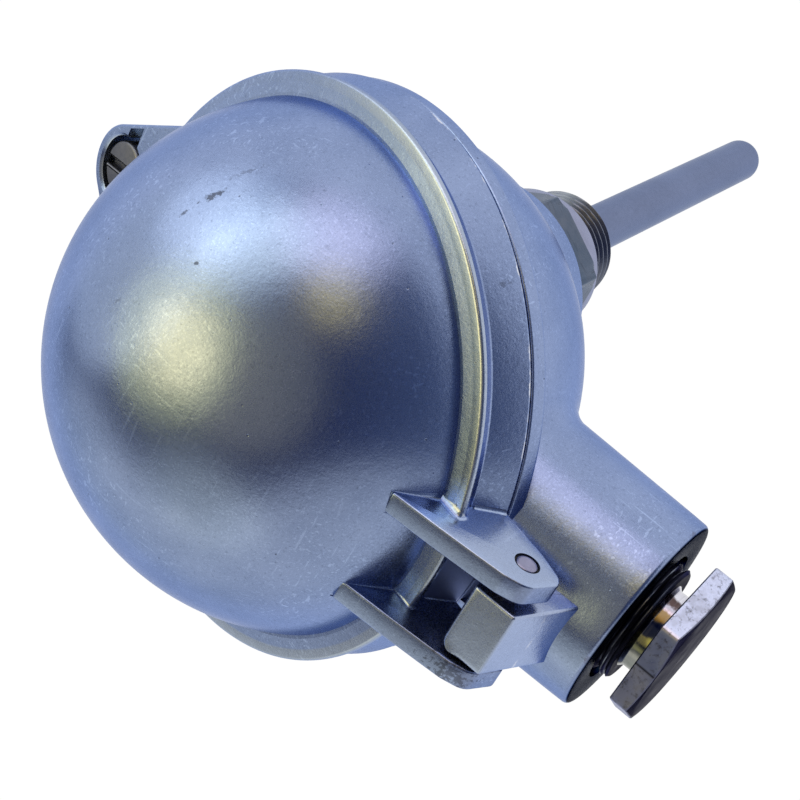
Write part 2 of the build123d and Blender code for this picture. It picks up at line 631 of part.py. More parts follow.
with BuildPart() as terminal_clamps:
    for angle in TERMINAL_ANGLES:
        with Locations(Location((0, 0, block_top_z), (0, 0, angle)) * Location((TERMINAL_R, 0, 0))):
            Box(CLAMP_L, CLAMP_W, CLAMP_H, align=(Align.CENTER, Align.CENTER, Align.MIN))
    chamfer(terminal_clamps.edges().filter_by(Axis.Z), 0.5)
terminal_clamps.part.label = "terminal_clamps"

with BuildPart() as terminal_screws:
    for angle in TERMINAL_ANGLES:
        with Locations(Location((0, 0, block_top_z + CLAMP_H), (0, 0, angle)) * Location((TERMINAL_R, 0, 0))):
            Cylinder(TERMINAL_SCREW_R, TERMINAL_SCREW_H, align=(Align.CENTER, Align.CENTER, Align.MIN))
    for angle in TERMINAL_ANGLES:
        with Locations(
            Location((0, 0, block_top_z + CLAMP_H + TERMINAL_SCREW_H), (0, 0, angle))
            * Location((TERMINAL_R, 0, 0), (0, 0, 35 + angle))
        ):
            Box(3 * TERMINAL_SCREW_R, TERMINAL_SLOT_W, TERMINAL_SCREW_H, mode=Mode.SUBTRACT)
terminal_screws.part.label = "terminal_screws"


def lead_points(angle):
    """Corner points of one lead: up out of the potting, then out to the clamp's inner face."""
    heading = Vector(math.cos(math.radians(angle)), math.sin(math.radians(angle)), 0)
    lift = block_top_z + CLAMP_H / 2
    low = heading * WIRE_RING_R + Vector(0, 0, sheath_top_z)
    turn_point = heading * WIRE_RING_R + Vector(0, 0, lift)
    far = heading * (TERMINAL_R - CLAMP_L / 2) + Vector(0, 0, lift)
    return low, turn_point, far


with BuildPart() as leads_white:
    for angle in TERMINAL_ANGLES[:2]:
        corners = lead_points(angle)
        with BuildLine() as route:
            FilletPolyline(*corners, radius=WIRE_BEND_R)
        with BuildSketch(Plane(origin=corners[0], z_dir=(0, 0, 1))):
            Circle(WIRE_R)
        sweep(path=route.line)
leads_white.part.label = "leads_white"

with BuildPart() as leads_red:
    for angle in TERMINAL_ANGLES[2:]:
        corners = lead_points(angle)
        with BuildLine() as route:
            FilletPolyline(*corners, radius=WIRE_BEND_R)
        with BuildSketch(Plane(origin=corners[0], z_dir=(0, 0, 1))):
            Circle(WIRE_R)
        sweep(path=route.line)
leads_red.part.label = "leads_red"

# Insert screws stand on the pillars; a spring under each head presses the plate down
spring_top_z = plate_top_z + SPRING_LENGTH
with BuildPart() as insert_screws:
    with Locations((0, INSERT_SCREW_SPACING / 2, spring_top_z), (0, -INSERT_SCREW_SPACING / 2, spring_top_z)):
        Cylinder(INSERT_SCREW_HEAD_R, INSERT_SCREW_HEAD_H, align=(Align.CENTER, Align.CENTER, Align.MIN))
        Cylinder(INSERT_SCREW_R, spring_top_z - PLATE_Z + INSERT_SCREW_ENGAGE,
                 align=(Align.CENTER, Align.CENTER, Align.MAX))
    with Locations(
        (0, INSERT_SCREW_SPACING / 2, spring_top_z + INSERT_SCREW_HEAD_H),
        (0, -INSERT_SCREW_SPACING / 2, spring_top_z + INSERT_SCREW_HEAD_H),
    ):
        Box(3 * INSERT_SCREW_HEAD_R, 1.0, 2.0, mode=Mode.SUBTRACT)
insert_screws.part.label = "insert_screws"


coil_height = SPRING_LENGTH - 2 * SPRING_WIRE_R - 2 * SPRING_SEAT_GAP
coil_pitch = coil_height / SPRING_TURNS
coil_z = plate_top_z + SPRING_WIRE_R + SPRING_SEAT_GAP
with BuildPart() as insert_spring_a:
    with BuildLine() as coil_a:
        Helix(coil_pitch, coil_height, SPRING_MEAN_R, center=(0, INSERT_SCREW_SPACING / 2, coil_z))
    with BuildSketch(Plane(origin=coil_a.line @ 0, z_dir=coil_a.line % 0)):
        Circle(SPRING_WIRE_R)
    sweep(path=coil_a.line, is_frenet=True)
insert_spring_a.part.label = "insert_spring_a"

with BuildPart() as insert_spring_b:
    with BuildLine() as coil_b:
        Helix(coil_pitch, coil_height, SPRING_MEAN_R, center=(0, -INSERT_SCREW_SPACING / 2, coil_z))
    with BuildSketch(Plane(origin=coil_b.line @ 0, z_dir=coil_b.line % 0)):
        Circle(SPRING_WIRE_R)
    sweep(path=coil_b.line, is_frenet=True)
insert_spring_b.part.label = "insert_spring_b"

# Earth screw and washer on the pad in the cavity
with BuildPart() as earth_washer:
    with Locations((EARTH_X, 0, EARTH_PAD_TOP_Z)):
        Cylinder(EARTH_HEAD_R, EARTH_WASHER_T, align=(Align.CENTER, Align.CENTER, Align.MIN))
        Cylinder(EARTH_SCREW_R + THREAD_CLEARANCE, 4 * EARTH_WASHER_T, mode=Mode.SUBTRACT)
earth_washer.part.label = "earth_washer"

earth_head_z = EARTH_PAD_TOP_Z + EARTH_WASHER_T
with BuildPart() as earth_screw:
    with Locations((EARTH_X, 0, earth_head_z)):
        Cylinder(EARTH_HEAD_R - 0.3, EARTH_HEAD_H, align=(Align.CENTER, Align.CENTER, Align.MIN))
        Cylinder(EARTH_SCREW_R, EARTH_ENGAGE + EARTH_WASHER_T, align=(Align.CENTER, Align.CENTER, Align.MAX))
    with Locations((EARTH_X, 0, earth_head_z + EARTH_HEAD_H)):
        Box(3 * EARTH_HEAD_R, 1.0, 2.0, mode=Mode.SUBTRACT)
earth_screw.part.label = "earth_screw"

export_step(dome_lid.part, "parts/dome_lid.step")
export_step(head_body.part, "parts/head_body.step")
export_step(lid_gasket.part, "parts/lid_gasket.step")
export_step(hinge_pin.part, "parts/hinge_pin.step")
export_step(lid_screw.part, "parts/lid_screw.step")
export_step(screw_retainer.part, "parts/screw_retainer.step")
export_step(entry_plug.part, "parts/entry_plug.step")
export_step(process_fitting.part, "parts/process_fitting.step")
export_step(fitting_seal.part, "parts/fitting_seal.step")
export_step(protection_tube.part, "parts/protection_tube.step")
export_step(insert_sheath.part, "parts/insert_sheath.step")
export_step(rtd_element.part, "parts/rtd_element.step")
export_step(sheath_potting.part, "parts/sheath_potting.step")
export_step(sheath_bushing.part, "parts/sheath_bushing.step")
export_step(insert_plate.part, "parts/insert_plate.step")
export_step(terminal_block.part, "parts/terminal_block.step")
export_step(terminal_clamps.part, "parts/terminal_clamps.step")
export_step(terminal_screws.part, "parts/terminal_screws.step")
export_step(leads_white.part, "parts/leads_white.step")
export_step(leads_red.part, "parts/leads_red.step")
export_step(insert_screws.part, "parts/insert_screws.step")
export_step(insert_spring_a.part, "parts/insert_spring_a.step")
export_step(insert_spring_b.part, "parts/insert_spring_b.step")
export_step(earth_washer.part, "parts/earth_washer.step")
export_step(earth_screw.part, "parts/earth_screw.step")
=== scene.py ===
"""Resistance temperature probe with a domed connection head: surfaces, finishes and studio around its frame."""

import math

import bmesh
import bpy
import numpy as np
from bpy.props import FloatProperty, FloatVectorProperty, IntProperty, PointerProperty
from mathutils import Matrix, Vector


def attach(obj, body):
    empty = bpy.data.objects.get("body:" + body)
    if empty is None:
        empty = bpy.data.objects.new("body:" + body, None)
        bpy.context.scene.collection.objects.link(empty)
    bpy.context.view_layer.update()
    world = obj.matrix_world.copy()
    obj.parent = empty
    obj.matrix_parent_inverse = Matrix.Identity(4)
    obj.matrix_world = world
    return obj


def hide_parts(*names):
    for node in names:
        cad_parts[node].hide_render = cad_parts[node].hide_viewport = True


bl_info = {
    "name": "Temperature probe head",
    "version": (1, 0, 0),
    "blender": (4, 5, 0),
    "location": "View3D > Sidebar > Probe",
    "description": "Builds the cast head, its lid, plug, fitting and tube around the packed frame",
    "category": "Add Mesh",
}

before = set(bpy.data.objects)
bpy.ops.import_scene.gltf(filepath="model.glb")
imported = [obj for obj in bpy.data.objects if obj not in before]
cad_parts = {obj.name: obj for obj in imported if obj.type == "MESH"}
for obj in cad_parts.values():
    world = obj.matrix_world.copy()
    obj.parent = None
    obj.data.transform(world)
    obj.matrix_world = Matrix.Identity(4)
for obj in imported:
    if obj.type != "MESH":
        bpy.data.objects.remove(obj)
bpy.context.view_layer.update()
MM = 0.001
TILT = math.radians(20.85)
ACROSS = np.array((math.cos(TILT), 0.0, math.sin(TILT)))
NORMAL = np.array((-math.sin(TILT), 0.0, math.cos(TILT)))
SIDE = np.array((0.0, 1.0, 0.0))
PARTING = np.array((1.2, 0.0, 70.0))
BOWL = np.array((0.0, 0.0, 68.3))
ENTRY_Z = 70.0  # height of the cable entry's axis
PIN_AT = np.array((52.4, 4.5))  # hinge pin in the lid's frame: across, and over the parting plane
EAR_IN = 6.8  # inner faces of the ears, from the middle
FLOOR_Z = -105.5


# Settings


def length(name, text, value):
    """A size that is typed in millimetres and stored in metres."""
    return FloatProperty(name=name, description=text, default=value * MM, unit="LENGTH", precision=5)


def colour(name, text, value):
    """A linear colour."""
    return FloatVectorProperty(name=name, description=text, default=value, size=3, subtype="COLOR", min=0, max=1)


class ProbeSizes(bpy.types.PropertyGroup):
    """Sizes of the visible pieces"""

    dome: length("Dome radius", "Outside radius of the lid's dome", 41.0)
    rim: length("Rim radius", "Radius of the lid at its lower edge", 44.35)
    foot: length("Rim foot", "Height of the lid's lower edge over the parting plane", 0.9)
    bowl: length("Bowl radius", "Outside radius of the body's bowl", 39.2)
    cavity: length("Cavity radius", "Inside radius of the body's bowl", 35.6)
    boss: length("Boss radius", "Radius of the cable entry boss at its end", 16.5)
    boss_end: length("Boss end", "Distance of the boss's end face from the stem axis", 62.0)
    recess: length("Entry recess", "Radius of the step in the boss's end face", 11.2)
    ear: length("Ear thickness", "Thickness of each hinge ear", 3.4)
    lug: length("Lug radius", "Radius of the screw lug's round end", 7.3)
    pocket: length("Pocket radius", "Radius of the pocket round the closing screw", 5.55)
    plug_width: length("Plug width", "Width across flats of the entry plug", 24.0)
    fitting_width: length("Fitting width", "Width across flats of the process fitting", 27.0)
    tube: length("Tube radius", "Outside radius of the protection tube", 4.5)
    steps: IntProperty(name="Steps round", description="Points round a turned surface", default=256, min=64)


class ProbeFinishes(bpy.types.PropertyGroup):
    """Base colours of the finishes"""

    cast: colour("Cast aluminium", "Blasted casting of head and lid", (0.29, 0.365, 0.59))
    cast_dull: colour("Cast aluminium, dull", "Duller patches of the casting", (0.24, 0.31, 0.52))
    steel: colour("Stainless steel", "Protection tube", (0.185, 0.22, 0.35))
    turned: colour("Turned steel", "Shoulder of the process fitting", (0.33, 0.35, 0.50))
    plated: colour("Plated steel", "Entry plug and closing screw", (0.38, 0.375, 0.42))
    brass: colour("Nickelled brass", "Terminal clamps", (0.62, 0.52, 0.30))
    rubber: colour("Rubber", "Gaskets", (0.015, 0.015, 0.017))
    ceramic: colour("Ceramic", "Terminal block", (0.78, 0.74, 0.64))
    floor: colour("Floor", "Studio floor", (0.86, 0.87, 0.88))


def sizes():
    """The sizes in millimetres, by name."""
    group = bpy.context.scene.probe_sizes
    keys = [k for k in ProbeSizes.__annotations__ if k != "steps"]
    return {k: getattr(group, k) / MM for k in keys}


# Shapes

STEM = (np.zeros(3), np.eye(3))
LID = (PARTING, np.array((ACROSS, SIDE, NORMAL)))
ENTRY = (np.array((0.0, 0.0, ENTRY_Z)), np.array(((0.0, 1.0, 0.0), (0.0, 0.0, 1.0), (1.0, 0.0, 0.0))))


def lid_point(x, y, z):
    """Row millimetres of a point given in the lid's frame."""
    return PARTING + ACROSS * x + SIDE * y + NORMAL * z


PIN = (lid_point(PIN_AT[0], 0, PIN_AT[1]), np.array((NORMAL, ACROSS, SIDE)))
SCREW = (lid_point(-48.8, 0, 0), LID[1])


def place(points, basis):
    """Local millimetres to row millimetres: origin + x * first axis + y * second axis + z * third axis."""
    origin, axes = basis
    return origin + points @ axes


def polar(angle, radius, height, basis):
    """Grid of points (r cos t, r sin t, h), one row per angle t and one column per station of the profile."""
    t = np.asarray(angle)[:, None]
    radius = np.broadcast_to(radius, (len(t), np.shape(radius)[-1]))
    height = np.broadcast_to(height, radius.shape)
    return place(np.stack((radius * np.cos(t), radius * np.sin(t), height), -1), basis)


def around(steps=None):
    """Equal angles round a full turn, without the last one."""
    steps = steps or bpy.context.scene.probe_sizes.steps
    return np.linspace(0, 2 * math.pi, steps, endpoint=False)


def rounded(corners, closed=False, steps=5):
    """Corners (x, y, radius) joined by straight runs; at each corner an arc of that radius touches both runs."""
    points = []
    total = len(corners)
    for i, (x, y, radius) in enumerate(corners):
        here = np.array((x, y), float)
        if radius == 0 or (not closed and i in (0, total - 1)):
            points.append(here)
            continue
        back = np.array(corners[i - 1][:2]) - here
        ahead = np.array(corners[(i + 1) % total][:2]) - here
        runs = np.linalg.norm(back), np.linalg.norm(ahead)
        back, ahead = back / runs[0], ahead / runs[1]
        half = math.acos(np.clip(back @ ahead, -1, 1)) / 2
        reach = min(radius / math.tan(half), 0.48 * min(runs))
        middle = (back + ahead) / np.linalg.norm(back + ahead) * reach / math.cos(half)
        start, end = back * reach - middle, ahead * reach - middle
        turn = math.acos(np.clip(start @ end / (start @ start), -1, 1))
        part = np.linspace(0, 1, steps + 1)[:, None]
        arc = (np.sin((1 - part) * turn) * start + np.sin(part * turn) * end) / max(math.sin(turn), 1e-9)
        points.extend(here + middle + arc)
    return np.array(points)


def arc(centre, radius, start, end, count):
    """Points centre + radius (cos, sin) from one angle to another, in degrees."""
    t = np.radians(np.linspace(start, end, count))
    return np.stack((centre[0] + radius * np.cos(t), centre[1] + radius * np.sin(t)), -1)


def refine(outline, gap):
    """The closed outline with its runs divided into steps no longer than gap."""
    following = np.roll(outline, -1, 0)
    counts = np.maximum(1, np.ceil(np.linalg.norm(following - outline, axis=1) / gap)).astype(int)
    share = np.concatenate([np.arange(c) / c for c in counts])[:, None]
    return np.repeat(outline, counts, 0) * (1 - share) + np.repeat(following, counts, 0) * share


def inset(outline, amount):
    """The closed outline moved inwards along its own normals by amount."""
    run = np.roll(outline, -1, 0) - np.roll(outline, 1, 0)
    run /= np.linalg.norm(run, axis=1)[:, None]
    area = np.sum(outline[:, 0] * np.roll(outline[:, 1], -1) - outline[:, 1] * np.roll(outline[:, 0], -1))
    inward = np.stack((-run[:, 1], run[:, 0]), -1) * np.sign(area)
    return outline + inward * amount


def rays(outline):
    """Unit direction and distance of each point of the outline, seen from the origin."""
    reach = np.linalg.norm(outline, axis=1)
    return outline / reach[:, None], reach


def station(direction, radius, height):
    """One column of a grid: direction * radius at a height, where radius and height are one for all or one each."""
    flat = direction * np.reshape(radius, (-1, 1))
    return np.column_stack((flat, np.broadcast_to(height, len(flat))))


def loft(outline, rows, basis):
    """Grid with one row per outline point. A station ("out", d, z) is the outline moved in by d at height z, and
    a station ("hole", r, z) is a circle of radius r, or of one radius per point, in the same directions."""
    direction, _ = rays(outline)
    columns = [
        station(direction, amount, height) if kind == "hole" else station(inset(outline, amount), 1.0, height)
        for kind, amount, height in rows
    ]
    return place(np.stack(columns, 1), basis)


def edge(height, radius, way, steps):
    """Stations of a rounded edge: moved in by radius at that height, and out on the side a radius further along."""
    t = np.radians(np.linspace(0, 90, steps + 1))
    return [("out", radius * (1 - math.sin(a)), height + way * radius * (1 - math.cos(a))) for a in t]


def edge_rows(low, high, radius, steps=3):
    """Stations of a side from one height to another with both edges rounded to radius."""
    return edge(low, radius, 1, steps) + edge(high, radius, -1, steps)[::-1]


def swing(first, second, steps):
    """Directions that turn evenly from first to second: (sin((1 - p) t) first + sin(p t) second) / sin t."""
    turn = np.arccos(np.clip(np.sum(first * second, -1), -1, 1))[:, None]
    parts = np.linspace(0, 1, steps + 1)
    return [(np.sin((1 - p) * turn) * first + np.sin(p * turn) * second) / np.sin(turn) for p in parts]


def linked(name, data):
    """A new object with that mesh or camera, linked to the scene."""
    thing = bpy.data.objects.new(name, data)
    bpy.context.scene.collection.objects.link(thing)
    return thing


class Form:
    """The closed surfaces of one piece: each is a grid whose neighbouring points make its faces."""

    def __init__(self):
        self.points = []
        self.faces = []
        self.count = 0

    def grid(self, points, wrap_u=True, wrap_v=False, cap=False, drop=None):
        """Adds a grid in row millimetres; cap closes its first and last columns, drop leaves out faces."""
        rows, columns = points.shape[:2]
        index = np.arange(rows * columns).reshape(rows, columns) + self.count
        first, last = index[:, 0], index[:, -1]
        if wrap_u:
            index = np.vstack((index, index[:1]))
        if wrap_v:
            index = np.hstack((index, index[:, :1]))
        quads = np.stack((index[:-1, :-1], index[1:, :-1], index[1:, 1:], index[:-1, 1:]), -1).reshape(-1, 4)
        if drop is not None:
            gone = drop.reshape(-1)[quads - self.count].all(1)
            quads = quads[~gone]
        self.faces.extend(quads.tolist())
        if cap:
            self.faces.extend((first[::-1].tolist(), last.tolist()))
        self.points.append(points.reshape(-1, 3))
        self.count += rows * columns

    def turned(self, profile, basis, steps=None, wrap=False):
        """A profile of (radius, height) carried round the basis's third axis."""
        profile = np.asarray(profile)
        self.grid(polar(around(steps), profile[:, 0], profile[:, 1], basis), wrap_v=wrap)

    def thread(self, steps, z, crest, pitch, low, high, taper, basis):
        """A threaded shank, closed at both ends: crest less the helical wave, and no wider than taper."""
        angle = around(steps)
        radius = np.minimum(crest - helical(z[None, :], angle[:, None], pitch, 0.85, low, high), taper)
        zero = np.zeros((len(angle), 1))
        self.grid(polar(angle, np.hstack((zero, radius, zero)), np.concatenate((z[:1], z, z[-1:])), basis))

    def mesh(self, name):
        """The mesh in metres, its doubles merged and its faces turned outwards."""
        mesh = bpy.data.meshes.new(name)
        mesh.from_pydata((np.concatenate(self.points) * MM).tolist(), [], self.faces)
        work = bmesh.new()
        work.from_mesh(mesh)
        bmesh.ops.remove_doubles(work, verts=work.verts, dist=2e-6)
        bmesh.ops.recalc_face_normals(work, faces=work.faces)
        work.to_mesh(mesh)
        work.free()
        return mesh

    def build(self, name, finish, body, replaced=(), crease=32):
        """Makes the piece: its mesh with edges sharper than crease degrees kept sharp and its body."""
        mesh = self.mesh(name)
        mesh.shade_smooth()
        mesh.set_sharp_from_angle(angle=math.radians(crease))
        mesh.materials.append(finish_of(finish))
        piece = linked(name, mesh)
        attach(piece, body)
        if replaced:
            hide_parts(*replaced)


def fillet_beside(form, profile, plane, side, radius, steps=6):
    """A rolling ball's fillet between the turned lid and the flat y = plane, on the flat's given side: the ball's
    centre runs on the profile moved out by its radius, at y = plane + side * radius. The radius may vary."""
    radius = np.broadcast_to(radius, len(profile)).astype(float)[:, None]
    run = np.gradient(profile, axis=0)
    run /= np.linalg.norm(run, axis=1)[:, None]
    outward = np.stack((run[:, 1], -run[:, 0]), -1)
    centre = profile + outward * radius
    y = plane + side * radius[:, 0]
    x = np.sqrt(centre[:, 0] ** 2 - y * y)
    middle = np.stack((x, y, centre[:, 1]), -1)
    radial = middle[:, :2] / centre[:, :1]
    to_turned = -np.column_stack((outward[:, :1] * radial, outward[:, 1]))
    to_flat = np.broadcast_to((0.0, -side, 0.0), to_turned.shape)
    columns = [middle + way * radius for way in swing(to_turned, to_flat, steps)]
    columns.append(middle + (to_turned + to_flat) * radius * 1.35)
    points = place(np.stack(columns, 1), LID)
    form.grid(points, wrap_u=False, wrap_v=True)
    for end in points[[0, -1]]:
        form.points.append(end)
        form.faces.append(list(range(form.count, form.count + len(end))))
        form.count += len(end)


def lug_outline(radius, gap):
    """Plan of a screw lug about its screw: a round end, two flanks at 35 degrees that touch it, and the root."""
    lean = math.radians(35)
    touch = (-radius * math.sin(lean), radius * math.cos(lean))
    wide = touch[1] + (10.1 - touch[0]) * math.tan(lean)
    flank = rounded([(touch[0], touch[1], 0), (10.1, wide, 1.6), (13.6, 14.8, 0)])[1:]
    outline = np.vstack((
        arc((0, 0), radius, 125, 235, 40), flank * (1, -1), [(11.6, -8), (11.1, 0), (11.6, 8)], flank[::-1],
    ))
    return refine(outline, gap)


def hexagon(width, spin, corner=0.5):
    """Outline of a hexagon of that width across flats, its corners slightly rounded."""
    angles = np.radians(spin + 60 * np.arange(6))
    reach = width / math.sqrt(3)
    corners = [(reach * math.cos(a), reach * math.sin(a), corner) for a in angles]
    return refine(rounded(corners, closed=True, steps=3), 0.8)


def helical(z, angle, pitch, depth, low, high):
    """Depth below the crest of a thread: a flattened V wave of z / pitch - angle / turn, fading at both ends."""
    phase = (z / pitch - angle / (2 * math.pi)) % 1.0
    wave = np.clip(1.5 * np.abs(2 * phase - 1) - 0.2, 0, 1)
    fade = np.clip((z - low) / (0.6 * pitch), 0, 1) * np.clip((high - z) / (0.6 * pitch), 0, 1)
    return depth * wave * fade


# Finishes


def rgba(colour, share=1.0):
    """A colour, or a lighter or darker shade of it, with full alpha."""
    return (*(min(1.0, v * share) for v in colour[:3]), 1.0)


class Finish:
    """A node material, or the world's, that is put together one node at a time."""

    def __init__(self, name, world=None):
        self.data = world or bpy.data.materials.new(name)
        self.data.use_nodes = True
        self.tree = self.data.node_tree
        self.tree.nodes.clear()

    def add(self, kind, out=0, inputs=None, **settings):
        """A node with its settings and inputs, by name or number; returns one of its outputs."""
        node = self.tree.nodes.new("ShaderNode" + kind)
        for key, value in settings.items():
            setattr(node, key, value)
        for key, value in (inputs or {}).items():
            if isinstance(value, bpy.types.NodeSocket):
                self.tree.links.new(value, node.inputs[key])
            else:
                node.inputs[key].default_value = value
        return node.outputs[out] if len(node.outputs) else node

    def maths(self, operation, first, second=0.5, clamp=False):
        """One Math node."""
        return self.add("Math", 0, {0: first, 1: second}, operation=operation, use_clamp=clamp)

    def times(self, first, *others):
        """The product of all values."""
        for other in others:
            first = self.maths("MULTIPLY", first, other)
        return first

    def plus(self, first, second):
        """The sum of two values."""
        return self.maths("ADD", first, second)

    def minus(self, first, second, clamp=False):
        """The difference of two values."""
        return self.maths("SUBTRACT", first, second, clamp)

    def reach(self, first, second):
        """Distance from an axis, from the two coordinates across it."""
        squares = [self.maths("POWER", value, 2.0) for value in (first, second)]
        return self.maths("SQRT", self.plus(*squares))

    def angle(self, up, out):
        """Direction round an axis as a share of a full turn, 0 at -180 degrees and 1 at 180."""
        return self.ramp(self.maths("ARCTAN2", up, out), -math.pi, math.pi)

    def blend(self, share, first, second, mode="MIX"):
        """One Mix node between two colours."""
        return self.add("Mix", 2, {0: share, 6: first, 7: second}, data_type="RGBA", blend_type=mode)

    def ramp(self, value, low, high, start=0.0, end=1.0):
        """value from low..high to start..end, held at both ends."""
        return self.add("MapRange", 0, {0: value, 1: low, 2: high, 3: start, 4: end})

    def spread(self, noise, start, end):
        """The usual range of a noise, 0.3 to 0.7, to start..end."""
        return self.ramp(noise, 0.3, 0.7, start, end)

    def step(self, value, low, high):
        """0 to 1 while a length goes from low to high, both in millimetres."""
        return self.ramp(value, low * MM, high * MM)

    def within(self, value, low, full, last, high):
        """1 while a length is from full to last and 0 outside low and high, all in millimetres."""
        return self.times(self.step(value, low, full), self.step(value, high, last))

    def place(self):
        """The coordinates of the piece's own object."""
        return self.add("TexCoord", 3)

    def parts(self, place):
        """The three coordinates of a place."""
        return list(self.add("SeparateXYZ", 0, {0: place}).node.outputs)

    def noise(self, place, scale, detail=3.0, rough=0.55):
        """Noise on the piece's own coordinates."""
        inputs = {"Vector": place, "Scale": scale, "Detail": detail, "Roughness": rough}
        return self.add("TexNoise", 0, inputs)

    def stretched(self, place, scale, turn=(0.0, 0.0, 0.0)):
        """The coordinates turned and stretched by a Mapping node."""
        return self.add("Mapping", 0, {"Vector": place, "Rotation": turn, "Scale": scale})

    def spot(self, place, centre, along, long, wide):
        """Distance from a point in millimetres, in half lengths along one way and half widths across it."""
        turn = Vector(along).to_track_quat("X", "Z").to_euler()
        local = self.add("Mapping", 0, {
            "Vector": place, "Location": [v * MM for v in centre], "Rotation": turn,
            "Scale": (long * MM, wide * MM, wide * MM),
        }, vector_type="TEXTURE")
        return self.add("VectorMath", 1, {0: local}, operation="LENGTH")

    def bands(self, angle, pairs):
        """A colour ramp round an axis, through pairs of degrees and colour."""
        node = self.add("ValToRGB", 0, {0: angle}).node
        ramp = node.color_ramp
        pairs = [((degrees + 180) / 360, rgba(tint)) for degrees, tint in pairs]
        for i, (position, tint) in enumerate(pairs):
            stop = ramp.elements[i] if i < 2 else ramp.elements.new(position)
            stop.position = position
        for stop, (position, tint) in zip(ramp.elements, pairs):
            stop.position, stop.color = position, tint
        return node.outputs[0]

    def surface(self, tone, gloss, height, depth, tint=None, coat=0.0):
        """The shader that ends a finish. A metal has a tint: its mirror colour's share left at grazing angles."""
        bump = self.add("Bump", 0, {"Height": height, "Distance": depth, "Strength": 1.0})
        inputs = {"Base Color": tone, "Roughness": gloss, "Normal": bump, "Coat Weight": coat}
        if tint is not None:
            inputs.update({"Metallic": 1.0, "Specular Tint": tint})
        self.add("OutputMaterial", 0, {"Surface": self.add("BsdfPrincipled", 0, inputs)})
        return self.data


def metal(name, base, dull, rough, grain, depth, patch=90.0, lines=None, tint=(0.8, 0.83, 0.9)):
    """Machined metal with a fine grain in relief, patchy colour and gloss, and drawn or turned lines."""
    f = Finish(name)
    place = f.place()
    broad = f.noise(place, patch, 4.0)
    speck = f.noise(place, grain * 0.45, 2.0, 0.7)
    tone = f.blend(f.ramp(broad, 0.38, 0.62), rgba(base), rgba(dull))
    tone = f.blend(f.spread(speck, 0.0, 0.5), tone, rgba(base, 1.25))
    gloss = f.plus(f.spread(broad, rough - 0.05, rough + 0.06), f.spread(speck, -0.03, 0.05))
    height = f.noise(place, grain, 2.0)
    if lines:
        scale, share = lines
        drawn = f.noise(f.stretched(place, scale), 1.0, 2.0)
        height = f.plus(height, f.times(drawn, share))
        tone = f.blend(f.ramp(drawn, 0.35, 0.65, 0.0, 0.3 * share), tone, rgba(dull))
    return f.surface(tone, gloss, height, depth, rgba(tint))


MARKS = (
    # centre in millimetres, way it runs, half length, half width, how ragged, strength
    ((-14.44, 28.07, 98.9), (0.45, 0.68, -0.58), 2.0, 0.62, 0.75, 0.8),
    ((-16.1, 24.54, 101.36), (0.45, 0.68, -0.58), 0.7, 0.35, 0.8, 0.7),
    ((-9.02, 22.43, 105.88), (0.7, 0.3, -0.2), 0.45, 0.3, 0.5, 0.8),
    ((-13.4, 32.0, 94.6), (0.45, 0.68, -0.58), 2.2, 0.45, 1.2, 0.35),
    ((-15.9, 11.53, 108.73), (0.2, 0.9, 0.0), 0.5, 0.25, 0.8, 0.35),
    ((22.7, 36.1, 82.0), (0.3, 0.3, -0.9), 1.0, 0.4, 1.2, 0.4),
    ((48.9, -8.5, 98.1), (0.6, 0.0, -0.4), 2.6, 1.7, 2.2, 0.6),
    ((59.2, 0.0, 86.75), (1.0, 0.0, 0.0), 3.6, 0.1, 0.4, 0.75),
)


def scratches(f, place):
    """Hair lines in three directions: the crests of stretched noise, gathered in patches."""
    lines = 0.0
    for scale, turn in (
        ((90.0, 1900.0, 1900.0), (0.4, 0.9, 0.7)), ((1700.0, 110.0, 1700.0), (0.2, 0.5, -0.6)),
        ((1500.0, 1500.0, 130.0), (0.5, -0.4, 0.2)),
    ):
        line = f.ramp(f.noise(f.stretched(place, scale, turn), 1.0, 1.0), 0.665, 0.72)
        lines = f.maths("MAXIMUM", lines, line)
    return f.times(lines, f.ramp(f.noise(place, 60.0, 1.0), 0.42, 0.6))


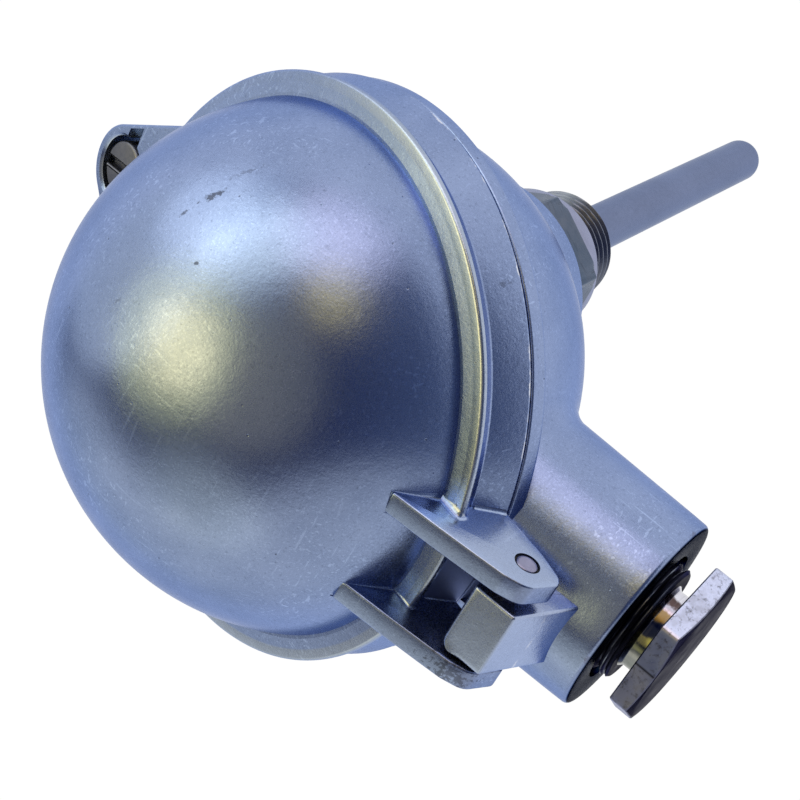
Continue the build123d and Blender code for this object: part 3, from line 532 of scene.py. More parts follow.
def patches(f, place):
    """Where the casting's colour changes, mostly in the lid's frame: the gap between the ears, the entry's end
    face, and all patches in order as share of the surface, strength and colour. Most patches are painted light and
    shade."""
    x, y, z = f.parts(place)
    along, over = (
        f.minus(f.add("VectorMath", 1, {0: place, 1: tuple(axis)}, operation="DOT_PRODUCT"),
                float(PARTING @ axis) * MM) for axis in (ACROSS, NORMAL)
    )
    side = f.maths("ABSOLUTE", y)
    hinge, relief = f.step(x, 36.0, 40.0), f.add("NewGeometry", 7)
    edges = f.times(hinge, f.ramp(relief, 0.515, 0.56, 0.0, 0.45))
    # Painted shade with dirt: the casting is made darker in hollow corners round the hinge.
    hollow_shade_and_dirt = f.times(hinge, f.ramp(relief, 0.485, 0.44, 0.0, 0.45))
    # Painted highlight: the band under the bead is made lighter, as if it caught more light.
    bead = f.times(f.within(f.reach(along, y), 42.3, 42.6, 44.2, 44.3), f.step(over, 8.9, 9.1))
    ears = f.within(side, 6.6, 6.7, 10.4, 10.5)
    bead = f.times(bead, f.minus(f.step(along, -22.0, 0.0), ears, clamp=True))
    # Painted highlight: the ears' outer faces are made lighter and bluer, standing in for the light they would
    # reflect.
    ear_face_highlight = f.times(f.within(side, 10.0, 10.1, 10.3, 10.35), f.step(along, 38.5, 41.0), f.step(over, 0.0, 0.4))
    middle = f.step(side, 6.7, 6.5)
    block = f.times(middle, f.step(along, 48.4, 48.6))
    # Painted highlight: one face of the knuckle is made lighter, as if lit.
    lit = f.times(block, f.step(over, -4.3, -3.5), f.step(along, 57.8, 57.6))
    gap = f.times(f.step(over, 7.2, 6.8), f.step(along, 41.8, 42.2), f.minus(middle, block, clamp=True))
    # Painted light: the screw lug and its pocket are made lighter, against the shade that falls in the pocket.
    pocket = f.times(f.step(along, -42.5, -43.0), f.step(over, 12.4, 12.2))
    wavy = f.plus(over, f.spread(f.noise(place, 420.0, 3.0), -1.45 * MM, -0.65 * MM))
    burr = f.times(f.step(f.maths("ABSOLUTE", wavy), 0.3, 0.1), f.ramp(f.noise(place, 110.0, 2.0), 0.46, 0.56))
    # Painted dark reflection: the cable entry's bore and machined end face are made nearly black.
    bore = f.step(f.reach(f.minus(z, ENTRY_Z * MM), y), 11.8, 11.6)
    face = f.maths("MAXIMUM", f.times(bore, f.step(x, 59.8, 60.0)), f.step(x, 61.72, 61.9))
    return gap, face, (
        (edges, 1.0, (0.12, 0.105, 0.12)),
        (hollow_shade_and_dirt, 1.0, (0.06, 0.07, 0.12)),
        (bead, 0.4, (0.6, 0.65, 0.66)),
        (ear_face_highlight, 0.4, (0.6, 0.73, 1.0)),
        (lit, 0.42, (0.58, 0.66, 0.85)),
        (gap, 1.0, (0.26, 0.32, 0.58)),
        (pocket, 0.7, (0.6, 0.68, 0.8)),
        (burr, 0.75, (0.9, 0.92, 1.0)),
        (face, 0.93, (0.02, 0.028, 0.05)),
    )


def casting(base, dull, rough):
    """Blasted casting: grain in relief, glints and dark specks, dull patches, hair scratches, single scuffs,
    painted shade with dirt in hollow corners, rubbed brown edges, painted highlights on the bead's band, the ears'
    faces, the knuckle and round the screw pocket, and a painted dark reflection on the machined end of the cable
    entry."""
    f = Finish("blasted_aluminium")
    place = f.place()
    broad = f.noise(place, 75.0, 5.0, 0.62)
    glint = f.noise(place, 2900.0, 2.0, 0.7)
    dark = f.noise(place, 1900.0, 3.0, 0.75)
    tone = f.blend(f.ramp(broad, 0.35, 0.65), rgba(base), rgba(dull))
    tone = f.blend(f.ramp(glint, 0.56, 0.72, 0.0, 0.4), tone, rgba(base, 1.5))
    tone = f.blend(f.ramp(dark, 0.44, 0.28, 0.0, 0.5), tone, rgba(dull, 0.5))
    gloss = f.plus(f.spread(broad, rough - 0.03, rough + 0.04), f.spread(glint, 0.03, -0.05))
    height = f.plus(f.noise(place, 3000.0, 3.0, 0.6), f.times(f.noise(place, 700.0, 2.0), 1.4))
    cell = f.add("TexVoronoi", 0, {"Vector": place, "Scale": 420.0, "Randomness": 1.0})
    pit = f.times(f.ramp(cell, 0.03, 0.08, 1.0, 0.0), f.ramp(f.noise(place, 260.0, 1.0), 0.54, 0.6))
    height = f.minus(height, f.times(pit, 2.5))
    tone = f.blend(f.times(pit, 0.7), tone, rgba((0.03, 0.035, 0.05)))
    tone = f.blend(f.times(scratches(f, place), 0.4), tone, rgba(base, 1.8))
    ragged = f.spread(f.noise(place, 1500.0, 4.0, 0.65), -1.0, 1.0)
    for centre, along, long, wide, rag, strength in MARKS:
        away = f.plus(f.spot(place, centre, along, long, wide), f.times(ragged, rag))
        tone = f.blend(f.ramp(away, 0.5, 0.95, strength, 0.0), tone, rgba((0.045, 0.05, 0.075)))
    gap, face, spots = patches(f, place)
    for share, strength, tint in spots:
        tone = f.blend(f.times(share, strength), tone, rgba(tint))
    gloss = f.plus(gloss, f.times(gap, 0.3))
    # The painted dark end face also gets a dark mirror tint.
    tint = f.blend(face, rgba((0.5, 0.58, 0.8)), rgba((0.06, 0.08, 0.14)))
    return f.surface(tone, gloss, height, 0.000016, tint)


def fitting(shoulder):
    """Process fitting: dark hexagon with rubbed streaks, lighter shoulder, and a dark thread with painted shade in
    its roots and painted highlights on its crests.
    """
    f = Finish("process_fitting")
    place = f.place()
    x, y, z = f.parts(place)
    broad = f.noise(place, 160.0, 5.0, 0.65)
    streak = f.noise(f.stretched(place, (300.0, 300.0, 2400.0)), 1.0, 3.0, 0.6)
    flats = f.blend(f.ramp(broad, 0.35, 0.65), rgba((0.08, 0.107, 0.16)), rgba((0.13, 0.15, 0.2)))
    flats = f.blend(f.ramp(streak, 0.55, 0.72, 0.0, 0.6), flats, rgba((0.04, 0.05, 0.07)))
    ring = f.blend(f.ramp(broad, 0.35, 0.65, 0.0, 0.5), rgba(shoulder), rgba(shoulder, 0.7))
    # Painted shade in the thread's roots and a painted highlight on its crests.
    thread = f.blend(f.step(f.reach(x, y), 9.6, 10.4), rgba((0.1, 0.12, 0.2)), rgba((0.17, 0.185, 0.24)))
    tone = f.blend(f.step(z, -0.5, -0.1), thread, ring)
    tone = f.blend(f.step(z, 4.1, 4.3), tone, flats)
    height = f.plus(streak, f.noise(place, 2200.0, 2.0))
    return f.surface(tone, f.spread(broad, 0.24, 0.36), height, 0.00001, rgba((0.7, 0.75, 0.85)))


def polished(base):
    """Polished and heat stained neck of the plug: bands round its axis that are painted reflections mixed with heat
    tint, and fine turned lines.
    """
    f = Finish("polished_steel")
    place = f.place()
    _, y, z = f.parts(place)
    ragged = f.spread(f.noise(place, 700.0, 3.0), -0.009, 0.009)
    # Bands round the axis: painted reflections mixed with heat tint.
    tone = f.bands(f.plus(f.angle(f.minus(z, ENTRY_Z * MM), y), ragged), (
        (-180, (0.06, 0.07, 0.08)), (-60, base), (4, (0.75, 0.75, 0.85)), (9, (0.09, 0.06, 0.06)),
        (20, (0.12, 0.08, 0.08)), (23, (0.62, 0.6, 0.74)), (29, (0.55, 0.5, 0.6)), (32, (0.22, 0.165, 0.08)),
        (43, (0.17, 0.12, 0.05)), (47, (0.02, 0.03, 0.09)), (67, (0.03, 0.04, 0.09)), (71, (0.34, 0.33, 0.17)),
        (87, (0.27, 0.28, 0.15)), (93, (0.08, 0.09, 0.1)), (101, (0.27, 0.28, 0.29)), (117, (0.22, 0.24, 0.24)),
        (128, (0.12, 0.14, 0.12)), (150, (0.05, 0.06, 0.07)),
    ))
    lines = f.noise(f.stretched(place, (3600.0, 60.0, 60.0)), 1.0, 2.0)
    tone = f.blend(f.ramp(lines, 0.45, 0.7, 0.0, 0.3), tone, rgba(base, 0.6))
    return f.surface(tone, f.spread(lines, 0.1, 0.2), lines, 0.000003, rgba((1.0, 1.0, 1.0)))


def plug(base):
    """Plated plug: painted light and shade by the angle round its axis, one flat bright and the others grey,
    blotches, a painted dark outer face, and painted shade on the thread in the recess.
    """
    f = Finish("plated_plug")
    place = f.place()
    x, y, z = f.parts(place)
    z = f.minus(z, ENTRY_Z * MM)
    bright, grey, paler_half, painted_dark_line = (0.62, 0.68, 0.92), (0.2, 0.24, 0.46), (0.25, 0.28, 0.48), (0.02, 0.02, 0.03)
    # Painted light and shade by the angle round the axis: one flat lit bright with a painted highlight on its
    # corner, the others grey, one crossed by a painted dark line.
    tone = f.bands(f.angle(z, y), (
        (-180, base), (-8, base), (-6.5, bright), (51.5, bright), (52.4, (0.8, 0.72, 0.8)), (54.0, grey),
        (82.6, grey), (82.9, painted_dark_line), (83.4, painted_dark_line), (83.7, (0.4, 0.42, 0.6)), (84.2, paler_half), (112.5, paler_half),
        (113.5, grey), (172, grey), (174, base),
    ))
    blotch = f.noise(place, 1300.0, 4.0, 0.7)
    broad = f.noise(place, 330.0, 3.0, 0.6)
    tone = f.blend(f.ramp(blotch, 0.48, 0.32, 0.0, 0.7), tone, rgba((0.06, 0.06, 0.08)))
    tone = f.blend(f.ramp(broad, 0.5, 0.68, 0.0, 0.35), tone, rgba(base, 0.5))
    # Painted shade: the thread inside the boss's recess is made dark, darkest in its roots.
    thread = f.blend(f.step(f.reach(y, z), 9.4, 9.9), rgba((0.015, 0.017, 0.03)), rgba((0.15, 0.17, 0.22)))
    tone = f.blend(f.step(x, 64.5, 66.3), thread, tone)
    # Painted shade: the face that points out along the axis is made dark and reflects less.
    face = f.ramp(f.parts(f.add("TexCoord", 1))[0], 0.5, 0.75)
    tone = f.blend(face, tone, rgba((0.09, 0.09, 0.13)))
    tint = f.blend(face, rgba((0.8, 0.82, 0.9)), rgba((0.12, 0.12, 0.17)))
    return f.surface(tone, f.spread(broad, 0.26, 0.4), blotch, 0.00002, tint)


def moulded(name, base, dull, rough, grain, depth, coat=0.0):
    """Plastic, rubber or ceramic: patchy colour, fine relief and uneven gloss."""
    f = Finish(name)
    place = f.place()
    fine = f.noise(place, grain, 3.0)
    tone = f.blend(f.ramp(f.noise(place, 140.0, 4.0), 0.35, 0.65), rgba(base), rgba(dull))
    return f.surface(tone, f.spread(fine, rough - 0.06, rough + 0.08), fine, depth, coat=coat)


FINISHES = {}


def finish_of(name):
    """The finish by name, made on its first use."""
    if name not in FINISHES:
        c = bpy.context.scene.probe_finishes
        maker, *values = {
            "cast": (casting, c.cast, c.cast_dull, 0.27),
            "tube": (metal, "drawn_stainless", c.steel, rgba(c.steel, 0.88), 0.27, 2600.0, 0.000004, 40.0,
                     ((1300.0, 1300.0, 25.0), 0.4), (0.6, 0.66, 0.8)),
            "fitting": (fitting, c.turned),
            "plated": (metal, "plated_steel", c.plated, rgba(c.plated, 0.72), 0.3, 1700.0, 0.000016, 420.0),
            "screw": (metal, "screw_steel", (0.17, 0.175, 0.21), (0.13, 0.135, 0.17), 0.36, 1500.0, 0.000008,
                      300.0, None, (0.5, 0.52, 0.6)),
            "pin": (metal, "pin_steel", (0.3, 0.3, 0.44), (0.22, 0.22, 0.33), 0.34, 1500.0, 0.00001, 300.0),
            "plug": (plug, c.plated),
            "polished": (polished, c.plated),
            "brass": (metal, "nickelled_brass", c.brass, rgba(c.brass, 0.8), 0.28, 2200.0, 0.000008, 300.0),
            "rubber": (moulded, "black_rubber", c.rubber, rgba(c.rubber, 1.8), 0.6, 1500.0, 0.00002),
            "ceramic": (moulded, "steatite", c.ceramic, rgba(c.ceramic, 0.92), 0.45, 1200.0, 0.00002, 0.2),
            "resin": (moulded, "potting", (0.02, 0.02, 0.018), (0.03, 0.028, 0.022), 0.2, 500.0, 0.00003, 0.5),
            "white": (moulded, "white_sleeve", (0.8, 0.79, 0.75), (0.7, 0.69, 0.64), 0.45, 1800.0, 0.00001),
            "red": (moulded, "red_sleeve", (0.45, 0.02, 0.012), (0.36, 0.018, 0.012), 0.45, 1800.0, 0.00001),
        }[name]
        FINISHES[name] = maker(*values)
    return FINISHES[name]


def dress(finish, *nodes):
    """Gives CAD nodes, whose shape stays, a finish of their own."""
    for node in nodes:
        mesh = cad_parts[node].data
        mesh.materials.clear()
        mesh.materials.append(finish_of(finish))


# Pieces


class ProbeOperator:
    """What every operator of this file shares"""

    bl_options = {"REGISTER", "UNDO"}

    def execute(self, context):
        self.make(sizes())
        return {"FINISHED"}


def lid_profile(s):
    """Outside of the lid from its lower edge to the dome's foot: cone, undercut, bead and flat band."""
    foot, rim = math.sqrt(s["dome"] ** 2 - 7.6 ** 2), s["rim"]
    low = rounded([
        (rim - 1.2, s["foot"], 0), (rim, s["foot"], 0.35), (rim - 1.9, 6.8, 0.7), (rim - 1.25, 8.7, 0.4),
        (rim - 0.17, 9.15, 0.5), (rim - 0.25, 10.2, 0.5), (rim - 1.9, 10.3, 3.0), (foot + 0.5, 10.6, 0.3),
        (foot, 10.6, 0),
    ])
    return low, arc((0, 3), s["dome"], math.degrees(math.asin(7.6 / s["dome"])), 90, 90)


class PROBE_OT_lid(ProbeOperator, bpy.types.Operator):
    """Cast dome lid with its hinge ears and screw lug"""

    bl_idname = "probe.lid"
    bl_label = "Dome lid"

    def make(self, s):
        form = Form()
        low, top = lid_profile(s)
        inner = s["dome"] - 2.8
        start = math.degrees(math.asin(7.8 / inner))
        inside = arc((0, 3), inner, 90, start, 60)
        bore = inside[-1, 0]
        skirt = rounded([
            (bore, 10.8, 0), (37.4, 10.8, 0), (37.4, s["foot"], 0.4), (s["rim"] - 1.2, s["foot"], 0),
        ])
        form.turned(np.vstack((top[::-1], low[::-1][1:], skirt[::-1], inside[::-1])), LID)
        self.ears(form, s)
        self.lug(form, s)
        form.build("lid_casting", "cast", "lid", ("dome_lid",))

    def ears(self, form, s):
        """Two hinge ears: outline carried across each, and rolling ball fillets down to cone, bead and dome."""
        outline = rounded([
            (37.0, 18.4, 0.4), (44.0, 15.05, 20), (50.3, 11.85, 9), (53.9, 9.95, 3), (56.7, 7.6, 3),
            (57.0, 1.8, 1.6), (55.6, 0.8, 2), (51.2, 0.5, 4), (46.4, 0.9, 3), (38.7, 1.3, 0), (38.6, 3.0, 0),
            (38.3, 8.0, 0), (37.4, 12.5, 0), (36.2, 16.2, 0),
        ], closed=True)
        outline = refine(outline - PIN_AT, 0.7)[:, ::-1]
        rim = s["rim"]
        cone = np.linspace((rim - 0.05, 1.4), (rim - 1.72, 6.3), 8)
        bead = rounded([
            (rim - 1.72, 7.4, 0), (rim - 1.25, 8.7, 0.3), (rim - 0.17, 9.15, 0.5), (rim - 0.25, 10.2, 0.5),
            (rim - 1.9, 10.3, 3.0), (39.6, 10.55, 0),
        ])
        dome = arc((0, 3), s["dome"], 8.0, 21.9, 18)
        wide = np.interp(bead[:, 1], (7.4, 9.0, 10.3), (0.3, 0.7, 1.0))
        narrow = np.interp(dome[:, 1], (9.0, 11.5, 14.5, 18.2), (1.0, 0.9, 0.5, 0.12))
        for side in (1, -1):
            near, far = sorted((side * EAR_IN, side * (EAR_IN + s["ear"])))
            rows = [("hole", 1.95, far), ("hole", 1.95, near)] + edge_rows(near, far, 0.32)
            form.grid(loft(outline, rows, PIN), wrap_v=True)
            for plane, way, share in ((EAR_IN, -1, 0.45), (EAR_IN + s["ear"], 1, 1.0)):
                for run, radius in ((cone, 0.6), (bead, wide), (dome, narrow)):
                    fillet_beside(form, run, side * plane, side * way, radius * share)

    def lug(self, form, s):
        """Lug round the closing screw: outline carried down the screw's axis, with pocket, notch and bore."""
        outline = lug_outline(s["lug"], 0.35)
        angle = np.arctan2(outline[:, 1], outline[:, 0]) - math.radians(35)
        beyond = np.minimum(6.6 / np.maximum(np.cos(angle), 0.1), 6.63 / np.maximum(np.sin(angle), 0.1))
        turn = np.degrees(angle)
        share = np.clip((turn - 37) / 8, 0, 1) * np.clip((69 - turn) / 1.5, 0, 1)
        pocket = s["pocket"]
        mouth = pocket + (beyond - pocket) * share
        bevel = 0.4 - 0.36 * share
        rows = [
            ("hole", 2.8, 2.6), ("hole", 2.8, 7.6), ("hole", pocket, 7.6), ("hole", pocket, 10.2),
            ("hole", mouth, 10.2), ("hole", mouth, 12.6 - bevel), ("hole", mouth + bevel, 12.6),
        ]
        foot = s["foot"]
        rows += edge(12.6, 0.58, -1, 5) + [("out", 0.0, foot + 0.35), ("out", 0.35, foot)]
        rows += [("hole", 3.8, foot), ("hole", 3.8, 2.6)]
        form.grid(loft(outline, rows, SCREW), wrap_v=True)


def bowl_top(angle, radius, level):
    """Polar angle at which a sphere about the bowl's centre meets the plane at level in the lid's frame: the root
    of a cos q - b sin q = c, which is acos(c / hypot(a, b)) - atan2(b, a)."""
    a, b = math.cos(TILT), np.cos(angle) * math.sin(TILT)
    c = (level - (BOWL - PARTING) @ NORMAL) / radius
    return np.arccos(c / np.hypot(a, b)) - np.arctan2(b, a)


class PROBE_OT_body(ProbeOperator, bpy.types.Operator):
    """Cast head body: bowl, flange, entry boss, knuckle and screw lug"""

    bl_idname = "probe.body"
    bl_label = "Head body"

    def make(self, s):
        form = Form()
        self.bowl(form, s)
        self.flange(form, s)
        self.boss(form, s)
        self.knuckle(form)
        self.lug(form, s)
        for y in (-16.5, 16.5):
            post = rounded([(0, 30, 0), (4.2, 30, 0), (4.2, 42, 0.4), (2.1, 42, 0), (2.1, 37, 0), (0, 37, 0)])
            form.turned(post, (np.array((0.0, y, 0.0)), np.eye(3)), 48)
        pad = rounded([(0, 38, 0), (3.4, 38, 0), (3.4, 51, 0.4), (2.1, 51, 0), (2.1, 43, 0), (0, 43, 0)])
        form.turned(pad, (np.array((-25.0, 0.0, 0.0)), np.eye(3)), 48)
        form.build("head_casting", "cast", "head", ("head_body",))

    def bowl(self, form, s):
        """Sphere from the parting plane down, a fillet into the collar, and the cavity inside it."""
        angle = around()
        big, small = s["bowl"], s["cavity"]
        collar, blend, deep = 20.6, 12.0, 32.3
        share = np.linspace(0, 1, 60)
        low = math.pi - math.asin((collar + blend) / (big + blend))
        top = bowl_top(angle, big, -1.0)[:, None]
        q = top + (low - top) * share
        radius, height = big * np.sin(q), BOWL[2] + big * np.cos(q)
        drop = math.sqrt((big + blend) ** 2 - (collar + blend) ** 2)
        bend = arc((collar + blend, BOWL[2] - drop), blend, 90 + math.degrees(math.pi - low) - 1.0, 180, 16)
        foot = rounded([
            (collar, BOWL[2] - drop, 0), (20.15, 20, 1.1), (12.1, 20, 0.3), (12.1, 32.6, 0), (9.0, 32.6, 0),
            (9.0, 36.0, 0.3), (math.sqrt(small ** 2 - deep ** 2), 36.0, 0),
        ])
        fixed = np.vstack((bend[1:], foot))
        start = math.pi - math.acos(deep / small)
        q = start + (bowl_top(angle, small, -1.0)[:, None] - start) * share
        radius = np.hstack((radius, np.broadcast_to(fixed[:, 0], (len(angle), len(fixed))), small * np.sin(q)))
        height = np.hstack((height, np.broadcast_to(fixed[:, 1], (len(angle), len(fixed))),
                            BOWL[2] + small * np.cos(q)))
        points = polar(angle, radius, height, STEM)
        form.grid(points, wrap_v=True, drop=self.punch(points, 9.9))

    def punch(self, points, radius):
        """Marks the points inside the cable entry's bore, after moving those near its edge onto the edge."""
        away = np.hypot(points[..., 1], points[..., 2] - ENTRY_Z)
        near = (np.abs(away - radius) < 0.5) & (points[..., 0] > 0)
        pull = np.where(near, radius / np.maximum(away, 1e-6), 1.0)
        points[..., 1] *= pull
        points[..., 2] = ENTRY_Z + (points[..., 2] - ENTRY_Z) * pull
        away = np.hypot(points[..., 1], points[..., 2] - ENTRY_Z)
        return (away < radius + 0.01) & (points[..., 0] > 0)

    def flange(self, form, s):
        """Ring about the lid's axis with the gasket's groove; underneath it sweeps into the bowl."""
        angle = around()
        centre = BOWL - PARTING
        shift, depth = centre @ ACROSS, centre @ NORMAL

        def wall(radius, level):
            """Distance from the lid's axis to a sphere about the bowl's centre at one level."""
            ring = math.sqrt(radius ** 2 - (level - depth) ** 2)
            return (shift * np.cos(angle) + np.sqrt(ring ** 2 - (shift * np.sin(angle)) ** 2))[:, None]

        outer = s["rim"] - 0.4
        rim = rounded([
            (38.6, 0.4, 0), (38.6, -1.1, 0), (41.0, -1.1, 0), (41.0, 0.4, 0.1), (outer, 0.4, 0.35),
            (outer, -2.1, 0.8), (outer - 0.9, -3.0, 0),
        ])
        end = wall(s["bowl"], -8.0) - 0.15
        t = np.linspace(0, 1, 9)[1:]
        sweep_r = (outer - 0.9) * (1 - t) ** 2 + (wall(s["bowl"], -4.2) + 0.9) * 2 * t * (1 - t) + end * t * t
        sweep_z = -3.0 * (1 - t) ** 2 - 4.5 * 2 * t * (1 - t) - 8.0 * t * t
        radius = np.hstack((wall(s["cavity"], 0.4), np.broadcast_to(rim[:, 0], (len(angle), len(rim))), sweep_r,
                            wall(37.4, -8.0), wall(37.4, -1.2), wall(s["cavity"], -1.2)))
        height = np.concatenate(([0.4], rim[:, 1], sweep_z, (-8.0, -1.2, -1.2)))
        form.grid(polar(angle, radius, height, LID), wrap_v=True)

    def clear_lid(self, points):
        """Presses what reaches over the flange's top down: level under the rim, then rising away from it."""
        local = (points - PARTING) @ LID[1].T
        away = np.hypot(local[..., 0], local[..., 1])
        limit = 0.35 + 1.3 * np.maximum(0, away - 45.2)
        under = np.abs(local[..., 1] + 0.45) < 5.6
        limit = np.where(under, -2.8 + 5 * np.maximum(0, away - 56.8), limit)
        limit = np.where((np.abs(local[..., 1]) < 6.7) & (away < 51.8), -2.8, limit)
        local[..., 2] = np.minimum(local[..., 2], limit)
        return place(local, LID)

    def boss(self, form, s):
        """Turned boss with its recess and thread, and a rolling ball's fillet where it leaves the bowl."""
        angle = around()
        end, r, step = s["boss_end"], s["boss"], s["boss_end"] - 1.1
        shape = rounded([
            (17.2, 33.6, 0), (r, end, 0.8), (s["recess"], end, 0.15), (s["recess"] - 0.1, step, 0.1),
            (10.05, step, 0.0), (10.05, 34.6, 0),
        ])
        side = np.linspace((17.2, 33.6), (16.6, end - 3), 60)
        shape = np.vstack((side, shape[1:]))
        form.grid(self.clear_lid(polar(angle, shape[:, 0], shape[:, 1], ENTRY)), wrap_v=True)
        ball, root = 4.5, 17.05
        away = root + ball
        cy, cz = away * np.cos(angle), away * np.sin(angle)
        big = s["bowl"] + ball
        cx = np.sqrt(big ** 2 - cy ** 2 - (cz + ENTRY_Z - BOWL[2]) ** 2)
        middle = np.stack((cy, cz, cx), -1)
        centre = np.array((0.0, BOWL[2] - ENTRY_Z, 0.0))
        to_bowl = (centre - middle) / big
        to_boss = -np.stack((np.cos(angle), np.sin(angle), np.zeros_like(angle)), -1)
        columns = [middle + way * ball for way in swing(to_bowl, to_boss, 10)]
        columns.append(middle + (to_bowl + to_boss) * (ball + 0.6))
        form.grid(self.clear_lid(place(np.stack(columns, 1), ENTRY)), wrap_v=True)

    def knuckle(self, form):
        """Block that carries the hinge pin: outline carried across, with rounded edges."""
        outline = rounded([
            (48.6, -9.0, 0), (48.6, 4.5, 4.0), (50.9, 10.2, 0.7), (57.5, 7.7, 0.5), (57.5, -13.0, 0),
        ], closed=True)
        outline = refine(outline - PIN_AT, 0.7)[:, ::-1]
        t = np.linspace(0, 1.57, 13)
        soft = [("out", 0.3 * (1 - math.sin(a)) ** 2, -6.1 + 1.7 * (1 - math.cos(a))) for a in t]
        rows = [("hole", 1.66, 5.2), ("hole", 1.66, -6.1)] + soft + edge(5.2, 0.4, -1, 4)[::-1]
        points = loft(outline, rows, STEM)
        back = 1.7 - np.sqrt(1.7 ** 2 - np.clip(-4.4 - points[..., 2], 0, 1.7) ** 2)
        inner = np.hypot(points[..., 0], points[..., 1]) > 1.7
        points[..., 1] += back * inner * np.clip((2.0 - points[..., 1]) / 4.0, 0, 1)
        form.grid(place(points, PIN), wrap_v=True)

    def lug(self, form, s):
        """Body's lug under the lid's one, with the hole that the closing screw swings through."""
        outline = lug_outline(s["lug"] - 0.3, 0.6)
        direction, _ = rays(outline)
        hole = 3.2 + 1.4 * np.clip(-direction[:, 0], 0, 1)
        top = [("hole", hole, -10.1), ("hole", hole, 0.1), ("hole", hole + 0.3, 0.4)]
        side = edge(0.4, 0.5, -1, 4) + edge(-10.1, 1.2, 1, 4)[::-1]
        form.grid(loft(outline, top + side, SCREW), wrap_v=True)


class PROBE_OT_hinge(ProbeOperator, bpy.types.Operator):
    """Hinge pin with peened ends in slightly wider holes"""

    bl_idname = "probe.hinge"
    bl_label = "Hinge pin"

    def make(self, s):
        end = EAR_IN + s["ear"]
        half = rounded([(0, end + 0.12, 0), (1.2, end + 0.1, 1.5), (1.62, end - 0.1, 0.2), (1.62, 0, 0)])
        mirrored = half[::-1] * (1, -1)
        form = Form()
        form.turned(np.vstack((half, mirrored[1:])), PIN, 64)
        form.build("hinge_pin_peened", "pin", "lid", ("hinge_pin",))
        # Painted shadow: a black ring in each pin hole round the pin, where the hole's shade falls.
        ring = Form()
        for sign in (1, -1):
            ring.turned(np.array([(1.66, end - 0.45), (1.93, end - 0.45), (1.93, end - 1.2), (1.66, end - 1.2)])
                        * (1, sign), PIN, 64, wrap=True)
        ring.build("pin_hole_shade", "rubber", "lid")


class PROBE_OT_screw(ProbeOperator, bpy.types.Operator):
    """Captive closing screw with a slotted head, and its retaining ring"""

    bl_idname = "probe.screw"
    bl_label = "Closing screw"

    def make(self, s):
        form = Form()
        low, top, floor, r = 7.6, 12.2, 10.6, 4.65
        shank = rounded([(0, -9.0, 0), (1.9, -9.0, 0.4), (2.5, -8.3, 0.2), (2.5, low, 0), (r, low, 0.2),
                         (r, floor, 0), (0, floor, 0)])
        form.turned(shank, SCREW, 96)
        slot = math.radians(13.0)
        for way in (0.0, math.pi):
            open_angle = math.degrees(math.asin(0.7 / r))
            half = refine(arc((0, 0), r, open_angle, 180 - open_angle, 40), 0.5)
            spin = slot + way
            turn = np.array(((math.cos(spin), math.sin(spin)), (-math.sin(spin), math.cos(spin))))
            rows = [("out", 0.0, floor - 0.2)] + edge(top, 0.45, -1, 4)[::-1]
            columns = [station(inset(half, amount) @ turn, 1.0, height) for kind, amount, height in rows]
            form.grid(place(np.stack(columns, 1), SCREW), cap=True)
        form.build("slotted_screw", "screw", "closing_screw", ("lid_screw",))
        dress("plated", "screw_retainer")


class PROBE_OT_plug(ProbeOperator, bpy.types.Operator):
    """Entry plug: hexagon head with a turned chamfer, smooth neck and thread"""

    bl_idname = "probe.plug"
    bl_label = "Entry plug"

    def make(self, s):
        form = Form()
        face, low, crest = s["boss_end"] + 2.0, 48.0, 9.95
        z = np.linspace(low, face, 110)
        taper = crest - 0.5 + np.minimum(0.5, np.minimum(z - low, face - z))
        form.thread(180, z, crest, 1.5, low + 0.6, face - 0.1, taper, ENTRY)
        start, crown = face + 2.75, face + 6.35
        direction, reach = rays(hexagon(s["plug_width"], 53, 0.3))
        circle, slope = s["plug_width"] / 2 - 0.5, 0.25
        rows = [(reach * 0, start), (reach - 0.2, start), (reach, start + 0.2),
                (reach, crown - 0.12 - np.maximum(0, reach - circle) * slope)]
        for part in np.linspace(1, 0, 6):
            r = circle - 0.1 + (np.maximum(circle, reach - 0.15) - circle + 0.1) * part
            rows.append((r, crown - np.maximum(0, r - circle) * slope))
        rows.append((reach * 0, crown))
        columns = [station(direction, r, h) for r, h in rows]
        form.grid(place(np.stack(columns, 1), ENTRY))
        form.build("hexagon_plug", "plug", "plug", ("entry_plug",))
        neck = Form()
        neck.turned(rounded([
            (0, face - 0.2, 0), (7.5, face - 0.2, 0), (7.3, face + 0.05, 0.2), (6.8, face + 0.5, 0.4),
            (6.8, start - 0.3, 0.3), (7.1, start + 0.05, 0), (7.1, start + 0.3, 0), (0, start + 0.3, 0),
        ]), ENTRY, 128)
        neck.build("plug_neck", "polished", "plug")


